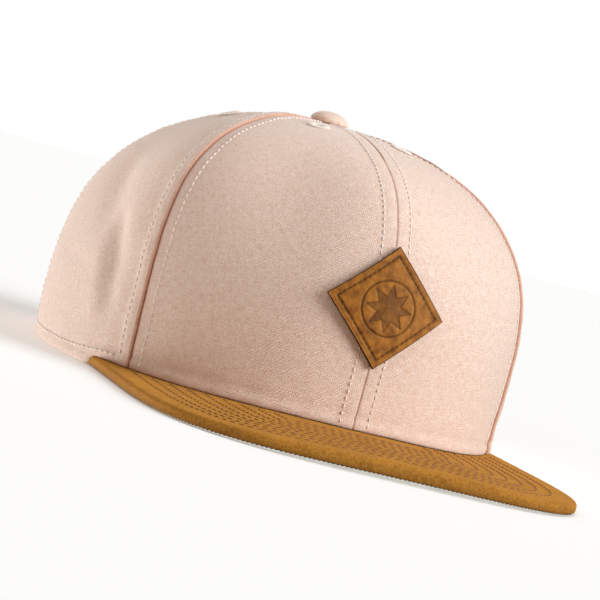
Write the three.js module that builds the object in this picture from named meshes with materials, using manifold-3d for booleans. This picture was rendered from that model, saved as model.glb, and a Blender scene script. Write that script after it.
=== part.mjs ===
// Six-panel cap with a flat peak and a snap strap, resting on its rim.
// Millimetres, +Z up, the peak towards -Y and the wearer's left towards +X.
import * as THREE from "three";
import { mergeVertices } from "three/addons/utils/BufferGeometryUtils.js";
import Module from "manifold-3d";

const wasm = await Module();
wasm.setup();

const degree = Math.PI / 180;
const gap = 0.3; // clearance between pieces that touch
const overrun = 3; // how far a cutting shape runs past what it cuts
const mergeTolerance = 1e-4;

// Crown: the rim's oval in plan, and how the wall closes towards the top
const crown = {
  halfWidth: 85,
  frontReach: 97.7,
  rearReach: 87.5,
  rearSquareness: 2.29, // exponent of the rear half of the oval, an ellipse has 2
  frontNarrowing: 0.022,
  height: 103.6,
  topSetBack: 8.4,
  frontWidthPower: 0.68,
  rearWidthPower: 0.937,
  frontHeightPower: 0.588,
  rearHeightPower: 1.086,
  bulge: 0.059, // swell of the wall between rim and top, as a share of the radius
  seamRidge: 0.036, // how far the seams stand out, as a share of the radius
  wall: 1.6,
  topHole: 3.6,
  columns: 12,
  rows: 14,
  rowCrowding: 1.4,
};

// Seams between the panels, by angle from the front middle towards the wearer's left
const frontSeam = 0;
const sideSeam = 54.6;
const rearSideSeam = 110;
const rearSeam = 180;
const panels = [
  { name: "front_panel_left", from: frontSeam, to: sideSeam },
  { name: "side_panel_left", from: sideSeam, to: rearSideSeam },
  { name: "back_panel_left", from: rearSideSeam, to: rearSeam },
  { name: "back_panel_right", from: -rearSeam, to: -rearSideSeam },
  { name: "side_panel_right", from: -rearSideSeam, to: -sideSeam },
  { name: "front_panel_right", from: -sideSeam, to: frontSeam },
];

// Soft hollows pressed into the wall: each runs between two places given by angle and height
const hollows = [
  { fromAngle: -67, fromHeight: 38, toAngle: -84, toHeight: 64, width: 8, depth: 1.8 },
  { fromAngle: 67, fromHeight: 38, toAngle: 80, toHeight: 60, width: 8, depth: 1.4 },
];

const eyelet = { radius: 1.6, fromTop: 41, sides: 12 };

// Peak: straight sides and a rounded front, almost flat, arched a little across
const peak = {
  halfWidth: 77,
  centre: -70,
  frontReach: 87.8,
  cornerPower: 3.55,
  arch: 1.1,
  thickness: 4.5,
  sideThickness: 3.4,
  taper: { from: 8, to: 62 }, // it thins between these distances from the middle
  liningThickness: 1.4,
  lip: 1, // the cover wraps the edge this far under
  columns: 24,
  rows: 6,
};

// Pieces laid against the inside of the wall, by distance in from its outer face
const softInset = crown.wall + 2 * gap;
const band = { thickness: 1.4, rearHeight: 29.5, frontHeight: 34, end: 36.5, columns: 72, rows: 3 };
const tape = { width: 13, thickness: 0.8, topRadius: 6, rows: 14 };
const arch = { halfWidth: 37, height: 54, power: 2.5, steps: 28 };
const binding = { width: 7, thickness: 1, fromEdge: 0.5, columns: 26 };
const label = { fromAngle: 97, toAngle: 125.5, low: 3.8, high: 29, thickness: 0.8, columns: 6, rows: 2 };
const patch = { side: 28.9, x: 0.5, z: 47.4, thickness: 2, standOff: 1, columns: 8 };
const button = {
  radius: 7.2,
  edge: 1,
  edgeRound: 0.6,
  height: 4.6,
  shank: 2.9,
  shankDepth: 4,
  sides: 20,
  steps: 6,
};

// Snap strap: two bands that overlap at the back, one with holes outside, one with pegs inside
const strap = {
  low: 0.8,
  height: 16,
  thickness: 1,
  tabEnd: 47,
  blankSpare: 5, // the blank runs this far past the outline cut from it
  holeBandTip: -17.5,
  pegBandTip: 25,
  pitch: 8,
  firstPeg: -29.2,
  firstHole: -13.2,
  count: 7,
  holeRadius: 1.6,
  pegRadius: 1.2,
  pegStandOut: 0.5,
  step: { from: -20, to: -33 }, // where the peg band comes out to the wall
  columns: 20,
  rodSides: 12,
};
const rearDepth = { from: 40, to: 120 }; // reach of a shape that cuts through the rear wall, along y
const bandRoom = { extra: strap.thickness + 2 * gap, full: 49, none: 60 }; // room for the strap's ends

const looks = {
  cotton: { color: 0xe6c8b9, roughness: 0.92, metalness: 0 },
  suede: { color: 0x92602c, roughness: 0.95, metalness: 0 },
  twill: { color: 0xb9b6ae, roughness: 0.9, metalness: 0 },
  satin: { color: 0x2f628f, roughness: 0.55, metalness: 0 },
  leather: { color: 0x8b5a34, roughness: 0.75, metalness: 0 },
  plastic: { color: 0x7b6156, roughness: 0.3, metalness: 0 },
};

function mix(a, b, share) {
  return a + (b - a) * share;
}

function signedPower(value, power) {
  return Math.sign(value) * Math.abs(value) ** power;
}

function smooth(from, to, value) {
  const share = THREE.MathUtils.clamp((value - from) / (to - from), 0, 1);
  return share * share * (3 - 2 * share);
}

// Finds where a rising function of one value crosses zero
function crossing(low, high, fn) {
  for (let step = 0; step < 40; step++) {
    const middle = (low + high) / 2;
    if (fn(middle) > 0) high = middle;
    else low = middle;
  }
  return (low + high) / 2;
}

function mergePoints(geometry) {
  geometry.deleteAttribute("normal");
  geometry.deleteAttribute("uv");
  return mergeVertices(geometry, mergeTolerance);
}

// A box whose faces are divided, with each point moved to its place on a curved sheet:
// across and up run along the sheet, out runs through its thickness.
function bend(columns, rows, place) {
  const box = mergePoints(new THREE.BoxGeometry(1, 1, 1, columns, rows, 1));
  const position = box.attributes.position;
  for (let i = 0; i < position.count; i++) {
    const point = place(position.getX(i) + 0.5, position.getY(i) + 0.5, position.getZ(i) + 0.5);
    position.setXYZ(i, point.x, point.y, point.z);
  }
  return box;
}

function toSolid(geometry) {
  const merged = mergePoints(geometry);
  const vertProperties = new Float32Array(merged.attributes.position.array);
  const triVerts = new Uint32Array(merged.index.array);
  return new wasm.Manifold(new wasm.Mesh({ numProp: 3, vertProperties, triVerts }));
}

function toGeometry(solid) {
  const mesh = solid.getMesh();
  const geometry = new THREE.BufferGeometry();
  geometry.setAttribute("position", new THREE.BufferAttribute(new Float32Array(mesh.vertProperties), 3));
  geometry.setIndex(new THREE.BufferAttribute(new Uint32Array(mesh.triVerts), 1));
  geometry.computeVertexNormals();
  return geometry;
}

// Crown surface

function frontShare(angle) {
  return (1 + Math.cos(angle)) / 2;
}

function rimPoint(angle) {
  const rear = Math.cos(angle) < 0;
  const power = 2 / (rear ? crown.rearSquareness : 2);
  const reach = rear ? crown.rearReach : crown.frontReach;
  const width = crown.halfWidth * (1 - crown.frontNarrowing * Math.cos(angle));
  return { x: width * signedPower(Math.sin(angle), power), y: -reach * signedPower(Math.cos(angle), power) };
}

// The rim follows the peak's slight arch along the front
function rimLift(rim) {
  return rim.y < 0 ? Math.max(0, peak.arch * (1 - (rim.x / peak.halfWidth) ** 2)) : 0;
}

// One at a seam, minus one half way between two seams
function seamWave(angle) {
  const turn = Math.abs(Math.atan2(Math.sin(angle), Math.cos(angle))) / degree;
  const start = [frontSeam, sideSeam, rearSideSeam].findLast((seam) => turn >= seam);
  const end = [sideSeam, rearSideSeam, rearSeam].find((seam) => seam > start);
  return Math.cos((2 * Math.PI * (turn - start)) / (end - start));
}

function hollowDepth(angle, height) {
  const scale = crown.halfWidth * degree;
  let depth = 0;
  for (const hollow of hollows) {
    const run = new THREE.Line3(
      new THREE.Vector3(hollow.fromAngle * scale, hollow.fromHeight, 0),
      new THREE.Vector3(hollow.toAngle * scale, hollow.toHeight, 0),
    );
    const here = new THREE.Vector3((angle / degree) * scale, height, 0);
    const nearest = run.closestPointToPoint(here, true, new THREE.Vector3());
    depth += hollow.depth * Math.exp(-((nearest.distanceTo(here) / hollow.width) ** 2));
  }
  return depth;
}

// Height runs from 0 at the rim to 90 degrees at the top, as on a dome
function wallPoint(angle, climb) {
  const front = frontShare(angle);
  const widthPower = mix(crown.rearWidthPower, crown.frontWidthPower, front);
  const heightPower = mix(crown.rearHeightPower, crown.frontHeightPower, front);
  const sine = Math.sin(climb) ** (1 / heightPower);
  const cosine = Math.sqrt(Math.max(0, 1 - sine * sine));
  const double = 2 * sine * cosine;
  const rim = rimPoint(angle);
  const lift = rimLift(rim);
  const height = lift + (crown.height - lift) * Math.sin(climb);
  const dent = hollowDepth(angle, height) / crown.halfWidth;
  const ridge = 1 + crown.seamRidge * double * double * seamWave(angle);
  const share = cosine ** widthPower * (1 + crown.bulge * double) * ridge - dent;
  return new THREE.Vector3(rim.x * share, rim.y * share + crown.topSetBack * sine, height);
}

function insidePoint(angle, climb, inset) {
  const step = 1e-3;
  const here = wallPoint(angle, climb);
  const across = wallPoint(angle + step, climb).sub(wallPoint(angle - step, climb));
  const up = wallPoint(angle, climb + step).sub(here);
  const inside = here.clone().addScaledVector(across.cross(up).normalize(), -inset);
  if (climb === 0) inside.z = here.z; // the hem is level, so that the cap rests on it
  return inside;
}

// Millimetres along the wall for each radian of angle
function arcRate(angle, climb) {
  const step = 1e-3;
  return wallPoint(angle + step, climb).distanceTo(wallPoint(angle - step, climb)) / (2 * step);
}

function climbAtHeight(angle, height) {
  const lift = rimLift(rimPoint(angle));
  return Math.asin(THREE.MathUtils.clamp((height - lift) / (crown.height - lift), 0, 1));
}

// Rows of a sheet lie closer together near the top, where the wall turns over
function towardsTop(share) {
  return 1 - (1 - share) ** crown.rowCrowding;
}

// The climb at which the wall is a given distance in plan from the top's middle
function climbAtRadius(angle, radius) {
  return crossing(20 * degree, 89.9 * degree, (climb) => {
    const point = wallPoint(angle, climb);
    return radius - Math.hypot(point.x, point.y - crown.topSetBack);
  });
}

// The angle at which the wall has a given x at a given height, on the front or the rear half
function angleAtX(x, height, rear) {
  const from = rear ? Math.PI : 0;
  const sign = x < 0 ? -1 : 1;
  const turn = crossing(0, Math.PI / 2, (offset) => {
    const angle = Math.abs(from - offset);
    return wallPoint(angle, climbAtHeight(angle, height)).x - Math.abs(x);
  });
  return sign * Math.abs(from - turn);
}

function onWall(x, height, rear, inset) {
  const angle = angleAtX(x, height, rear);
  return insidePoint(angle, climbAtHeight(angle, height), inset);
}

// Peak plan

function peakFront(x, inset) {
  const share = Math.min(1, Math.abs(x) / (peak.halfWidth - inset));
  const curve = (1 - share ** peak.cornerPower) ** (1 / peak.cornerPower);
  return peak.centre - (peak.frontReach - inset) * curve;
}

function rimInside(angle, inset) {
  const step = 1e-3;
  const here = rimPoint(angle);
  const next = rimPoint(angle + step);
  const along = new THREE.Vector2(next.x - here.x, next.y - here.y).normalize();
  return { x: here.x - along.y * inset, y: here.y + along.x * inset };
}

function peakBack(x, inset) {
  const angle = crossing(0, 85 * degree, (turn) => rimInside(turn, inset).x - Math.abs(x));
  return rimInside(angle, inset).y;
}

function peakThickness(x) {
  const side = smooth(peak.taper.from, peak.taper.to, Math.abs(x));
  return mix(peak.thickness, peak.sideThickness, side);
}

// A plate of the peak's outline between two heights above its underside. The upper one changes with x.
function peakPlate(size) {
  return bend(peak.columns, peak.rows, (across, back, up) => {
    const x = (peak.halfWidth - size.edgeInset) * Math.sin((across - 0.5) * Math.PI);
    const y = mix(peakFront(x, size.edgeInset), peakBack(x, size.backInset), back);
    const lift = Math.max(0, peak.arch * (1 - (x / peak.halfWidth) ** 2));
    return new THREE.Vector3(x, y, lift + mix(size.low, size.high(x), up));
  });
}

function peakCover() {
  const whole = peakPlate({ edgeInset: 0, backInset: crown.wall, low: 0, high: peakThickness });
  const pocket = peakPlate({
    edgeInset: peak.lip,
    backInset: crown.wall + overrun,
    low: -overrun,
    high: () => peak.liningThickness + gap,
  });
  return toSolid(whole).subtract(toSolid(pocket));
}

function peakLining() {
  const edgeInset = peak.lip + gap;
  const high = () => peak.liningThickness;
  return toSolid(peakPlate({ edgeInset, backInset: crown.wall, low: 0, high }));
}

// Space that the crown's wall leaves for the peak
function peakRoom() {
  const room = peakPlate({
    edgeInset: -gap,
    backInset: crown.wall + overrun,
    low: -overrun,
    high: (x) => peakThickness(x) + gap,
  });
  return toSolid(room);
}

// Crown panels

function archOutline(width, height) {
  const shape = new THREE.Shape();
  shape.moveTo(width, -overrun);
  for (let step = 0; step <= arch.steps; step++) {
    const turn = (step / arch.steps) * Math.PI;
    const x = width * signedPower(Math.cos(turn), 2 / arch.power);
    shape.lineTo(x, height * Math.max(0, Math.sin(turn)) ** (2 / arch.power));
  }
  shape.lineTo(-width, -overrun);
  return shape;
}

// An outline in x and height, made solid along y
function throughRear(shape) {
  const depth = rearDepth.to - rearDepth.from;
  const block = new THREE.ExtrudeGeometry(shape, { depth, bevelEnabled: false });
  block.rotateX(Math.PI / 2);
  block.translate(0, rearDepth.to, 0);
  return toSolid(block);
}

function eyeletHole(panel) {
  const angle = ((panel.from + panel.to) / 2) * degree;
  const climb = climbAtRadius(angle, eyelet.fromTop);
  const outside = insidePoint(angle, climb, -overrun);
  const inside = insidePoint(angle, climb, crown.wall + overrun);
  const along = outside.clone().sub(inside);
  const hole = new THREE.CylinderGeometry(eyelet.radius, eyelet.radius, along.length(), eyelet.sides);
  const upright = new THREE.Vector3(0, 1, 0);
  hole.applyQuaternion(new THREE.Quaternion().setFromUnitVectors(upright, along.clone().normalize()));
  hole.translate(...inside.addScaledVector(along, 0.5));
  return toSolid(hole);
}

function crownPanel(panel, peakSpace, archSpace) {
  const from = panel.from * degree;
  const to = panel.to * degree;
  const sheet = bend(crown.columns, crown.rows, (across, up, out) => {
    const climb = towardsTop(up) * climbAtRadius(mix(from, to, across), crown.topHole);
    const start = from + gap / 2 / arcRate(from + 1e-3, climb);
    const end = to - gap / 2 / arcRate(to - 1e-3, climb);
    return insidePoint(mix(start, end, across), climb, crown.wall * (1 - out));
  });
  return toSolid(sheet).subtract(peakSpace).subtract(archSpace).subtract(eyeletHole(panel));
}

// Pieces inside the crown

function bandHeight(angle) {
  return mix(band.rearHeight, band.frontHeight, frontShare(angle));
}

function sweatband() {
  const end = angleAtX(band.end, 0, true);
  return bend(band.columns, band.rows, (across, up, out) => {
    const angle = mix(-end, end, across);
    const rim = rimPoint(angle);
    const nearEnd = rim.y > 0 ? smooth(bandRoom.none, bandRoom.full, Math.abs(rim.x)) : 0;
    const inset = softInset + bandRoom.extra * nearEnd + band.thickness * (1 - out);
    const height = mix(rimLift(rim), bandHeight(angle), up);
    return insidePoint(angle, climbAtHeight(angle, height), inset);
  });
}

function seamTape(seam, fromHeight) {
  const middle = seam * degree;
  const low = climbAtHeight(middle, fromHeight);
  const high = climbAtRadius(middle, tape.topRadius);
  const neighbour = (sideSeam / 2) * degree;
  return bend(2, tape.rows, (across, up, out) => {
    const climb = mix(low, high, towardsTop(up));
    const rate = arcRate(middle, climb);
    const half = Math.min(tape.width / 2 / rate, neighbour - gap / rate);
    return insidePoint(middle + mix(-half, half, across), climb, softInset + tape.thickness * (1 - out));
  });
}

function archBinding() {
  const edge = (turn) => ({
    x: -arch.halfWidth * signedPower(Math.cos(turn), 2 / arch.power),
    z: arch.height * Math.sin(turn) ** (2 / arch.power),
  });
  const foot = bandHeight(rearSeam * degree) + 2;
  const start = crossing(0.05, Math.PI / 2, (turn) => edge(turn).z - foot);
  return bend(binding.columns, 1, (along, across, out) => {
    const turn = mix(Math.PI - start, start, along);
    const here = edge(turn);
    const before = edge(turn - 1e-3);
    const after = edge(turn + 1e-3);
    const outward = new THREE.Vector2(before.z - after.z, after.x - before.x).normalize();
    const away = binding.fromEdge + binding.width * across;
    const inset = softInset + binding.thickness * (1 - out);
    return onWall(here.x + outward.x * away, here.z + outward.y * away, true, inset);
  });
}

function sweatbandLabel() {
  const inset = softInset + band.thickness + gap;
  return bend(label.columns, label.rows, (across, up, out) => {
    const angle = mix(label.fromAngle, label.toAngle, across) * degree;
    const climb = climbAtHeight(angle, mix(label.low, label.high, up));
    return insidePoint(angle, climb, inset + label.thickness * (1 - out));
  });
}

// A square of leather standing on one corner
function frontPatch() {
  const halfDiagonal = patch.side * Math.SQRT1_2;
  return bend(patch.columns, patch.columns, (across, up, out) => {
    const right = (across - 0.5) * halfDiagonal;
    const rise = (up - 0.5) * halfDiagonal;
    const x = right - rise;
    const stand = gap + patch.standOff * (x / halfDiagonal) ** 2;
    return onWall(patch.x + x, patch.z + right + rise, false, -stand - patch.thickness * out);
  });
}

// Snap strap

function strapBand(from, to, insetAt) {
  const start = angleAtX(from, 0, true);
  const end = angleAtX(to, 0, true);
  const turn = (angle) => (angle < 0 ? angle + 2 * Math.PI : angle);
  const blank = bend(strap.columns, 1, (across, up, out) => {
    const angle = mix(turn(start), turn(end), across);
    const climb = climbAtHeight(angle, strap.low + strap.height * up);
    return insidePoint(angle, climb, insetAt(wallPoint(angle, climb).x) + strap.thickness * (1 - out));
  });
  return toSolid(blank);
}

// The strap's side view: square at the sewn end, a half circle at the tip
function strapOutline(sewnEnd, tip) {
  const radius = strap.height / 2;
  const middle = strap.low + radius;
  const direction = Math.sign(tip - sewnEnd);
  const shape = new THREE.Shape();
  shape.moveTo(sewnEnd, strap.low - overrun);
  shape.lineTo(tip - direction * radius, strap.low - overrun);
  shape.lineTo(tip - direction * radius, strap.low);
  shape.absarc(tip - direction * radius, middle, radius, -Math.PI / 2, Math.PI / 2, direction < 0);
  shape.lineTo(tip - direction * radius, strap.low + strap.height + overrun);
  shape.lineTo(sewnEnd, strap.low + strap.height + overrun);
  return throughRear(shape);
}

function rodThroughRear(x, radius, from, to) {
  const rod = new THREE.CylinderGeometry(radius, radius, to - from, strap.rodSides);
  rod.translate(x, (from + to) / 2, strap.low + strap.height / 2);
  return toSolid(rod);
}

function strapWithHoles() {
  const reach = strap.tabEnd + strap.blankSpare;
  let solid = strapBand(reach, strap.holeBandTip - overrun, () => softInset);
  solid = solid.intersect(strapOutline(strap.tabEnd, strap.holeBandTip));
  for (let i = 0; i < strap.count; i++) {
    const x = strap.firstHole + i * strap.pitch;
    solid = solid.subtract(rodThroughRear(x, strap.holeRadius, rearDepth.from, rearDepth.to));
  }
  return solid;
}

function pegBandInset(x) {
  return softInset + (strap.thickness + gap) * smooth(strap.step.to, strap.step.from, x);
}

function strapWithPegs() {
  const reach = strap.tabEnd + strap.blankSpare;
  let solid = strapBand(strap.pegBandTip + overrun, -reach, pegBandInset);
  solid = solid.intersect(strapOutline(-strap.tabEnd, strap.pegBandTip));
  const height = strap.low + strap.height / 2;
  for (let i = 0; i < strap.count; i++) {
    const x = strap.firstPeg + i * strap.pitch;
    const face = onWall(x, height, true, pegBandInset(x));
    const through = x > strap.step.from ? gap : 0;
    const length = strap.thickness + through + strap.pegStandOut;
    solid = solid.add(rodThroughRear(x, strap.pegRadius, face.y - strap.thickness / 2, face.y + length));
  }
  return solid;
}

// Covered button at the top, with its shank through the hole where the panels meet
function topButton() {
  const profile = [
    new THREE.Vector2(0, -button.shankDepth),
    new THREE.Vector2(button.shank, -button.shankDepth),
    new THREE.Vector2(button.shank, gap),
    new THREE.Vector2(button.radius - button.edgeRound, gap),
  ];
  for (let step = 0; step <= button.steps; step++) {
    const turn = (step / button.steps) * (Math.PI / 2);
    const radius = step === button.steps ? 0 : button.radius * Math.cos(turn);
    const rise = button.edge + (button.height - button.edge) * Math.sin(turn);
    profile.push(new THREE.Vector2(radius, gap + rise));
  }
  const dome = new THREE.LatheGeometry(profile, button.sides);
  dome.rotateX(Math.PI / 2);
  dome.translate(0, crown.topSetBack, crown.height);
  return dome;
}

// Assembly

const cap = new THREE.Group();

function addPiece(name, shape, look) {
  const geometry = shape.isBufferGeometry ? shape : toGeometry(shape);
  const mesh = new THREE.Mesh(geometry, new THREE.MeshStandardMaterial(look));
  mesh.name = name;
  cap.add(mesh);
}

const peakSpace = peakRoom();
const archSpace = throughRear(archOutline(arch.halfWidth, arch.height));
for (const panel of panels) {
  addPiece(panel.name, crownPanel(panel, peakSpace, archSpace), looks.cotton);
}
addPiece("top_button", topButton(), looks.cotton);
addPiece("peak_cover", peakCover(), looks.suede);
addPiece("peak_lining", peakLining(), looks.twill);
addPiece("sweatband", sweatband(), looks.twill);
const aboveBand = (seam) => bandHeight(seam * degree) + 2 * gap;
addPiece("seam_tape_front", seamTape(frontSeam, aboveBand(frontSeam)), looks.satin);
for (const [side, sign] of [["left", 1], ["right", -1]]) {
  addPiece(`seam_tape_side_${side}`, seamTape(sign * sideSeam, aboveBand(sideSeam)), looks.satin);
  addPiece(`seam_tape_rear_${side}`, seamTape(sign * rearSideSeam, aboveBand(rearSideSeam)), looks.satin);
}
const aboveBinding = arch.height + binding.fromEdge + binding.width + 1;
addPiece("seam_tape_back", seamTape(rearSeam, aboveBinding), looks.satin);
addPiece("arch_binding", archBinding(), looks.satin);
addPiece("strap_with_holes", strapWithHoles(), looks.plastic);
addPiece("strap_with_pegs", strapWithPegs(), looks.plastic);
addPiece("sweatband_label", sweatbandLabel(), looks.satin);
addPiece("front_patch", frontPatch(), looks.leather);

// The origin is on the floor, under the middle of the cap's length and width
const reach = new THREE.Box3().setFromObject(cap);
cap.position.y = -(reach.min.y + reach.max.y) / 2;

export default cap;
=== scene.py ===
import bisect
import functools
import itertools
from math import asin, atan2, copysign, cos, degrees, dist, exp, hypot, pi, radians, sin, sqrt

import bmesh
import bpy
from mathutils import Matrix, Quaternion, Vector, noise


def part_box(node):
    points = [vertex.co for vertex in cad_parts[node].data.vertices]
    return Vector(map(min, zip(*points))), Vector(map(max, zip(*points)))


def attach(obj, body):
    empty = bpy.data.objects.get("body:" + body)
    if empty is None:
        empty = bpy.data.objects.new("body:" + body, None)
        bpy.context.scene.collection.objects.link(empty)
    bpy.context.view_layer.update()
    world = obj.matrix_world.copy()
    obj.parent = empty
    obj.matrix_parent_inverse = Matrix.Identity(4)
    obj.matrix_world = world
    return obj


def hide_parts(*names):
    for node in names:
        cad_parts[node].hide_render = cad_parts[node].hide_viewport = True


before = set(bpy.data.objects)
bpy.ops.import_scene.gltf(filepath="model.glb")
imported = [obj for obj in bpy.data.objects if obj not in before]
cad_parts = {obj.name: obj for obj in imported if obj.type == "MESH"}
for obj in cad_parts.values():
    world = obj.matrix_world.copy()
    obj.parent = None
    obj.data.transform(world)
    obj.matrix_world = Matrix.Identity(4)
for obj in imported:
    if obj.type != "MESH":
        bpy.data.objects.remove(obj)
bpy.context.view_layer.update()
scene = bpy.context.scene
mm = 0.001


def addObject(name, data):
    thing = bpy.data.objects.new(name, data)
    scene.collection.objects.link(thing)
    return thing


def placeObject(thing, place, rotation):
    thing.location = place
    thing.rotation_mode = "QUATERNION"
    thing.rotation_quaternion = rotation


def feed(tree, node, inputs):
    # each input takes a plain value, or a socket to link from
    for key, value in inputs.items():
        if isinstance(value, bpy.types.NodeSocket):
            tree.links.new(value, node.inputs[key])
        else:
            node.inputs[key].default_value = value
    return node


def addNode(tree, kind, inputs=None, **settings):
    node = tree.nodes.new("ShaderNode" + kind)
    for key, value in settings.items():
        setattr(node, key, value)
    return feed(tree, node, inputs or {})


def startMaterial(name, finish):
    material = bpy.data.materials.new(name)
    material.use_nodes = True
    feed(material.node_tree, material.node_tree.nodes["Principled BSDF"], finish)
    return material, material.node_tree


# Camera, lights and floor

viewSettings = {
    "azimuth": -19.5,  # degrees, the photo's side angle
    "elevation": 3.0,  # just above the floor
    "roll": 15.6,  # the photo is tilted clockwise by this
    "distance": 0.816,
    "lens": 132.0,
    "aim": (0.003, 0.03, 0.038),
}
lights = [
    {"name": "key", "from": (0.76, -0.66, 0.4), "strength": 3.2, "spread": 40, "colour": (0.94, 0.985, 1)},
    {"name": "top", "from": (0.05, 0.1, 1.0), "strength": 0.8, "spread": 50, "colour": (1, 1, 1)},
    {"name": "left", "from": (-0.8, -0.5, 0.3), "strength": 0.28, "spread": 50, "colour": (1, 0.94, 0.88)},
    {"name": "low", "from": (-0.85, 0.25, -0.5), "strength": 1.1, "spread": 35, "colour": (1, 0.98, 0.94)},
    {"name": "back", "from": (-0.5, 0.75, -0.35), "strength": 2.4, "spread": 35, "colour": (1, 0.98, 0.94)},
    {"name": "under", "from": (-0.35, -0.4, -0.85), "strength": 0.6, "spread": 40, "colour": (1, 0.98, 0.95)}
]
worldLight = {"seen": (1, 1, 1, 1), "cast": (1, 0.9, 0.8, 1), "strength": 0.32}
floorSettings = {"size": 9.0, "drop": 0.0002, "colour": (0.94, 0.95, 0.96, 1), "glow": 0.08}


def makeCamera(settings):
    turn, rise = radians(settings["azimuth"]), radians(settings["elevation"])
    back = Vector((sin(turn) * cos(rise), -cos(turn) * cos(rise), sin(rise)))
    camera = addObject("camera", bpy.data.cameras.new("camera"))
    camera.data.lens = settings["lens"]
    tilt = Quaternion((0, 0, 1), radians(settings["roll"]))
    place = Vector(settings["aim"]) + back * settings["distance"]
    placeObject(camera, place, (-back).to_track_quat("-Z", "Y") @ tilt)
    scene.camera = camera


def makeLights():
    for light in lights:
        lamp = bpy.data.lights.new(light["name"], "SUN")
        lamp.angle = radians(light["spread"])
        lamp.energy = light["strength"]
        lamp.color = light["colour"]
        facing = Vector(light["from"]).to_track_quat("Z", "Y")
        placeObject(addObject(light["name"], lamp), light["from"], facing)
    world = bpy.data.worlds.new("studio")
    world.use_nodes = True
    tree = world.node_tree
    cast = tree.nodes["Background"]
    feed(tree, cast, {"Color": worldLight["cast"], "Strength": worldLight["strength"]})
    seen = addNode(tree, "Background", {"Color": worldLight["seen"]})
    ray = addNode(tree, "LightPath")
    mixed = {"Fac": ray.outputs["Is Camera Ray"], 1: cast.outputs[0], 2: seen.outputs[0]}
    blend = addNode(tree, "MixShader", mixed)
    feed(tree, tree.nodes["World Output"], {"Surface": blend.outputs[0]})
    scene.world = world
    scene.view_settings.view_transform = "Standard"


def makeFloor(settings):
    half = settings["size"] / 2
    mesh = bpy.data.meshes.new("floor")
    corners = [(-half, -half, 0), (half, -half, 0), (half, half, 0), (-half, half, 0)]
    mesh.from_pydata(corners, [], [(0, 1, 2, 3)])
    floor = addObject("floor", mesh)
    floor.location.z = -settings["drop"]
    finish = {"Base Color": settings["colour"], "Roughness": 1, "Specular IOR Level": 0}
    finish |= {"Emission Color": (1, 1, 1, 1), "Emission Strength": settings["glow"]}
    material, tree = startMaterial("floorPaper", finish)
    clear = addNode(tree, "BsdfTransparent")  # the floor is clear from below and to bounced light
    side = addNode(tree, "NewGeometry")
    ray = addNode(tree, "LightPath")
    facing = {0: ray.outputs["Is Camera Ray"], 1: side.outputs["Backfacing"]}
    shown = addNode(tree, "Math", facing, operation="SUBTRACT", use_clamp=True)
    paper = tree.nodes["Principled BSDF"].outputs["BSDF"]
    blend = addNode(tree, "MixShader", {"Fac": shown.outputs[0], 1: clear.outputs[0], 2: paper})
    feed(tree, tree.nodes["Material Output"], {"Surface": blend.outputs[0]})
    mesh.materials.append(material)


makeCamera(viewSettings)
makeLights()
makeFloor(floorSettings)
print("camera, lights and floor made")

# Sizes of the crown, in millimetres and degrees, with the angle from the front middle

crown = {
    "halfWidth": 85,
    "frontReach": 97.7,
    "rearReach": 87.5,
    "rearSquareness": 2.29,
    "frontNarrowing": 0.022,
    "height": 103.6,
    "topSetBack": 8.4,
    "frontWidthPower": 0.68,
    "rearWidthPower": 0.937,
    "frontHeightPower": 0.588,
    "rearHeightPower": 1.086,
    "bulge": 0.059,
    "seamRidge": 0.036,
    "wall": 1.6,
    "topHole": 3.6,
}
# folds are where they run from and to in degrees and height, then how wide and how deep they are
hollows = [
    ((-67, 38), (-84, 64), 8, 1.8),
    ((67, 38), (80, 60), 8, 1.4),
]
frontSeam, rearSeam = 54.6, 110
seams = [0, frontSeam, rearSeam, 180]
peak = {
    "halfWidth": 77,
    "centre": -70,
    "frontReach": 87.8,
    "cornerPower": 3.55,
    "arch": 1.1,
    "thickness": 4.5,
    "sideThickness": 3.4,
    "taperFrom": 8,
    "taperTo": 62,
}
rearArch = {"halfWidth": 37, "height": 54, "power": 2.5}
softInset = 2.2  # linings lie this far in from the wall's outer face
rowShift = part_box("peak_cover")[0].y / mm + peak["frontReach"] - peak["centre"]
nudge = 1e-3  # radians, for finding slopes


def mix(a, b, share):
    return a + (b - a) * share


def smooth(low, high, value):
    share = min(1, max(0, (value - low) / (high - low)))
    return share * share * (3 - 2 * share)


def bell(distance, width):
    return exp(-((distance / width) ** 2))


def signedPower(value, power):
    return copysign(abs(value) ** power, value)


def shares(count):
    return [k / count for k in range(count + 1)]


def circle(sides):
    return [2 * pi * k / sides for k in range(sides)]


def crossing(low, high, rising):
    for _ in range(34):
        middle = (low + high) / 2
        if rising(middle) > 0:
            high = middle
        else:
            low = middle
    return (low + high) / 2


def reachAlong(line):
    # the length reached at each point of a line
    return [0.0, *itertools.accumulate(dist(a, b) for a, b in zip(line, line[1:]))]


def stepAt(reach, target):
    # the step of a line that a length falls in, and how far along the step it is
    k = min(len(reach) - 1, max(1, bisect.bisect_left(reach, target)))
    return k, (target - reach[k - 1]) / max(1e-9, reach[k] - reach[k - 1])


def rimPower(angle):
    return 2 / crown["rearSquareness"] if cos(angle) < 0 else 1


def rimTurn(angle):
    # the same place by an angle that runs evenly over the sides, where front and rear meet
    power = rimPower(angle)
    return atan2(signedPower(sin(angle), power), signedPower(cos(angle), power))


def rimPoint(angle):
    power = rimPower(angle)
    reach = crown["rearReach"] if cos(angle) < 0 else crown["frontReach"]
    forward = reach * signedPower(cos(angle), power)
    width = crown["halfWidth"] * (1 - crown["frontNarrowing"] * forward / crown["frontReach"])
    return width * signedPower(sin(angle), power), -forward


def rimInside(angle, inset):
    here, after = rimPoint(angle), rimPoint(angle + nudge)
    along = Vector((after[0] - here[0], after[1] - here[1])).normalized()
    return here[0] - along.y * inset, here[1] + along.x * inset


def peakLift(x):
    return max(0, peak["arch"] * (1 - (x / peak["halfWidth"]) ** 2))


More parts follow.
